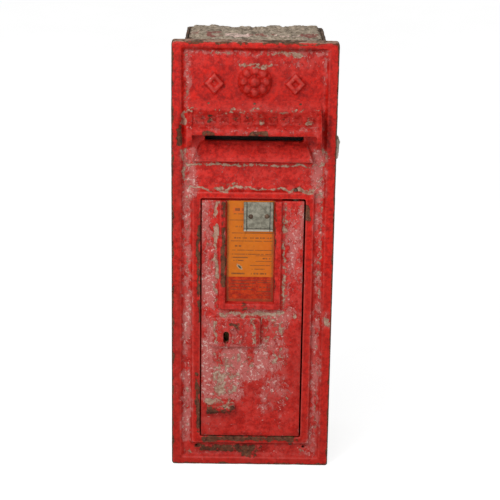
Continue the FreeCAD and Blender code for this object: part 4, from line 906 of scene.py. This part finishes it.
# ---- mortar left from the wall -------------------------------------------------------------------
def crust(name, origin, across, along, step, base, thick, seed, pink=(), brick=(), clear=()):
    """Mortar left on a plate: a thin uneven slab whose high parts show as islands.
    clear lists holes that stay open through it: x, z, radius."""
    origin, across, along = Vector(origin), Vector(across), Vector(along)
    out = across.cross(along).normalized()
    nu, nv = max(int(across.length / step), 2), max(int(along.length / step), 2)
    u, v = np.meshgrid(np.linspace(0, 1, nu + 1), np.linspace(0, 1, nv + 1), indexing="ij")
    flat = (np.array(origin) + u.ravel()[:, None] * np.array(across)
            + v.ravel()[:, None] * np.array(along))
    rim = np.minimum(np.minimum(u, 1 - u) * across.length, np.minimum(v, 1 - v) * along.length).ravel()
    height = (base + thick * (0.95 * fractal(flat, 38.0, seed, 3) + 0.55 * fractal(flat, 11.0, seed + 3, 3)
                              + 0.22 * fractal(flat, 4.0, seed + 6, 2)))
    height = np.clip(height, -1.0, thick * 1.25)
    height = -1.0 + (height + 1.0) * smooth_step(rim + 3 * fractal(flat, 9.0, seed + 9), 0.0, 7.0)
    front = flat + height[:, None] * np.array(out)
    back = flat - 1.6 * np.array(out)
    count = len(flat)
    index = np.arange(count).reshape(nu + 1, nv + 1)
    a, b, c, d = index[:-1, :-1], index[1:, :-1], index[1:, 1:], index[:-1, 1:]
    quads = np.stack([a, b, c, d], -1).reshape(-1, 4)
    centre = flat[quads].mean(1)
    for x, z, radius in clear:
        away = np.hypot(centre[:, 0] - x, centre[:, 2] - z) > radius
        quads, centre = quads[away], centre[away]
    used, quads = np.unique(quads, return_inverse=True)
    quads = quads.reshape(-1, 4)
    flat, front, back, count = flat[used], front[used], back[used], len(used)
    faces = [tuple(f) for f in quads] + [tuple(f[::-1] + count) for f in quads]
    sides = {(int(f[k]), int(f[(k + 1) % 4])) for f in quads for k in range(4)}
    for i, j in sorted(sides):
        if (j, i) not in sides:
            faces.append((j, i, i + count, j + count))
    mesh = bpy.data.meshes.new(name)
    mesh.from_pydata((np.vstack([front, back]) * MM).tolist(), [], [tuple(map(int, f)) for f in faces])
    q = np.vstack([flat, flat])
    q = q - np.array([0.0, FACE_MM, 0.0])
    for label, spots in (("pink", pink), ("brick", brick)):
        store(mesh, label, plan_spread(q, spots, seed + 21))
    smooth_shade(mesh)
    mesh.materials.append(MORTAR)
    obj = link(bpy.data.objects.new(name, mesh))
    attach(obj, "box")


def plan_spread(q, spots, seed):
    """Cover of patches given in plan: x0, x1, y0, y1, cover, fringe."""
    swapped = q[:, [0, 2, 1]]
    return spread(swapped, spots, seed, 3.0)


def mortar_lump(name, centre, size, seed, power=0.62):
    """A broken lump of mortar round a wall tie."""
    rows, columns = 64, 96
    points, faces = [], []
    for i in range(rows + 1):
        polar = math.pi * i / rows
        for j in range(columns):
            turn = 2 * math.pi * j / columns
            ray = (math.sin(polar) * math.cos(turn), math.sin(polar) * math.sin(turn), math.cos(polar))
            points.append([math.copysign(abs(c) ** power, c) for c in ray])
    for i in range(rows):
        for j in range(columns):
            k = (j + 1) % columns
            faces.append((i * columns + j, (i + 1) * columns + j, (i + 1) * columns + k, i * columns + k))
    co = np.array(points) * np.array(size) / 2 + np.array(centre)
    ray = co - np.array(centre)
    ray /= np.maximum(np.linalg.norm(ray, axis=1), 1e-6)[:, None]
    crags = np.abs(fractal(co, 15.0, seed, 3))
    rough = 0.9 * fractal(co, 24.0, seed + 1, 2) - 1.1 * crags + 0.45 * fractal(co, 4.5, seed + 3, 3)
    co = co + ray * (4.2 * rough)[:, None]
    mesh = bpy.data.meshes.new(name)
    mesh.from_pydata((co * MM).tolist(), [], faces)
    z = (co[:, 2] - centre[2]) / size[2] + 0.25 * fractal(co, 9.0, seed + 8)
    store(mesh, "pink", 0.75 * smooth_step(-z, 0.02, 0.30))
    store(mesh, "brick", 0.30 * smooth_step(fractal(co, 16.0, seed + 9), 0.1, 0.6))
    smooth_shade(mesh)
    mesh.materials.append(MORTAR_PALE)
    obj = link(bpy.data.objects.new(name, mesh))
    weld = obj.modifiers.new("Joined", "WELD")
    weld.merge_threshold = 0.01 * MM
    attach(obj, "box")


top_low, top_high = (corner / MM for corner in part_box("casing_top"))
left_low, left_high = (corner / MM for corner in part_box("casing_left"))
right_low, right_high = (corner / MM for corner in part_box("casing_right"))
back_low, back_high = (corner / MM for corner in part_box("back_plate"))
HOLE_REACH = 9.5  # mortar stays this far from the wall holes' middles
back_middle = (back_low.z + back_high.z) / 2
TOP_PINK = [(-48, -8, 84, 112, 0.9, 4), (14, 74, 86, 106, 0.8, 5), (-92, -78, 120, 150, 0.3, 6)]
TOP_BRICK = [(-78, -50, 84, 122, 0.8, 5), (-14, 18, 90, 126, 0.7, 6), (70, 98, 84, 120, 0.8, 5),
             (-104, -86, 96, 140, 0.5, 6), (0, 60, 112, 140, 0.35, 6)]
crust("top_mortar", (top_low.x + 1, FACE_MM + 30, top_high.z), (top_high.x - top_low.x - 2, 0, 0),
      (0, top_high.y - FACE_MM - 31, 0), 1.4, 2.4, 4.6, 211, TOP_PINK, TOP_BRICK)
crust("left_mortar", (left_low.x, left_high.y - 4, left_low.z + 8), (0, -(left_high.y - FACE_MM - 44), 0),
      (0, 0, left_high.z - left_low.z - 16), 2.4, -0.6, 2.6, 223)
crust("right_mortar", (right_high.x, FACE_MM + 40, right_low.z + 8), (0, right_high.y - FACE_MM - 44, 0),
      (0, 0, right_high.z - right_low.z - 16), 2.4, -0.7, 2.6, 235)
crust("back_mortar", (back_high.x - 6, back_high.y, back_low.z + 8),
      (-(back_high.x - back_low.x - 12), 0, 0), (0, 0, back_high.z - back_low.z - 16), 2.4, -1.5, 2.2, 247,
      clear=[(x, back_middle + z, HOLE_REACH) for x in (-70, 70) for z in (-240, 240)])
mortar_lump("right_tie_mortar", (119.5, FACE_MM + 60, 525), (28, 54, 42), 301)
mortar_lump("left_tie_mortar", (-114, FACE_MM + 64, 524), (18, 40, 34), 317)


# ---- floor, light and camera ---------------------------------------------------------------------
def plain_floor():
    """A wide white table top with a trace of unevenness."""
    mesh = bpy.data.meshes.new("white_floor")
    half = 40.0
    mesh.from_pydata([(-half, -half, 0), (half, -half, 0), (half, half, 0), (-half, half, 0)], [],
                     [(0, 1, 2, 3)])
    material, tree, shader = new_material("White board")
    soft = grain(tree, 60.0, 2.0)
    colour = blend_colour(tree, soft["Broad"], tone(0.56, 0.56, 0.56), tone(0.60, 0.60, 0.60))
    tree.links.new(colour, shader.inputs["Base Color"])
    shader.inputs["Roughness"].default_value = 0.9
    shader.inputs["Specular IOR Level"].default_value = 0.05
    seen = put(tree, "ShaderNodeLightPath").outputs["Is Camera Ray"]
    glow = blend_colour(tree, seen, tone(0, 0, 0), tone(FLOOR_GLOW, FLOOR_GLOW, FLOOR_GLOW))
    tree.links.new(glow, shader.inputs["Emission Color"])
    shader.inputs["Emission Strength"].default_value = 1.0
    mesh.materials.append(material)
    floor = link(bpy.data.objects.new("white_floor", mesh))


def soft_light(name, place, aim, size, watts):
    """A large square soft box."""
    data = bpy.data.lights.new(name, "AREA")
    data.shape = "SQUARE"
    data.size = size
    data.energy = watts
    lamp = link(bpy.data.objects.new(name, data))
    lamp.location = place
    lamp.rotation_mode = "QUATERNION"
    lamp.rotation_quaternion = (Vector(aim) - Vector(place)).to_track_quat("-Z", "Y")


FLOOR_GLOW = 0.78  # lifts the table top to white where it is seen
ROOM_LIGHT = 0.36
plain_floor()
soft_light("key_box", (-0.9, -1.2, 1.75), (0, -0.08, 0.36), 0.7, 16)
soft_light("low_box", (-0.5, -1.9, 0.7), (0, -0.08, 0.20), 0.9, 11)
soft_light("fill_box", (1.4, -1.6, 0.9), (0, -0.08, 0.30), 1.0, 5)
world = bpy.data.worlds.new("White room")
bpy.context.scene.world = world
world.use_nodes = True
backdrop = world.node_tree.nodes["Background"]
seen_sky = put(world.node_tree, "ShaderNodeLightPath").outputs["Is Camera Ray"]
sky = blend_colour(world.node_tree, seen_sky, tone(ROOM_LIGHT, ROOM_LIGHT, ROOM_LIGHT),
                   tone(1.0, 1.0, 1.0))
world.node_tree.links.new(sky, backdrop.inputs["Color"])
bpy.context.scene.view_settings.view_transform = "Standard"

CAMERA_PLACE = Vector((-7.4, -2395.1, 1090.2)) * MM
CAMERA_TURN = (Matrix.Rotation(-0.00146405, 4, "Z") @ Matrix.Rotation(-0.30295055, 4, "X")
               @ Matrix.Rotation(-0.01376145, 4, "Y") @ Matrix.Rotation(math.radians(90), 4, "X"))
camera_data = bpy.data.cameras.new("camera")
camera_data.sensor_width = 36.0
camera_data.lens = 111.596
camera = link(bpy.data.objects.new("camera", camera_data))
camera.matrix_world = Matrix.Translation(CAMERA_PLACE) @ CAMERA_TURN
bpy.context.scene.camera = camera
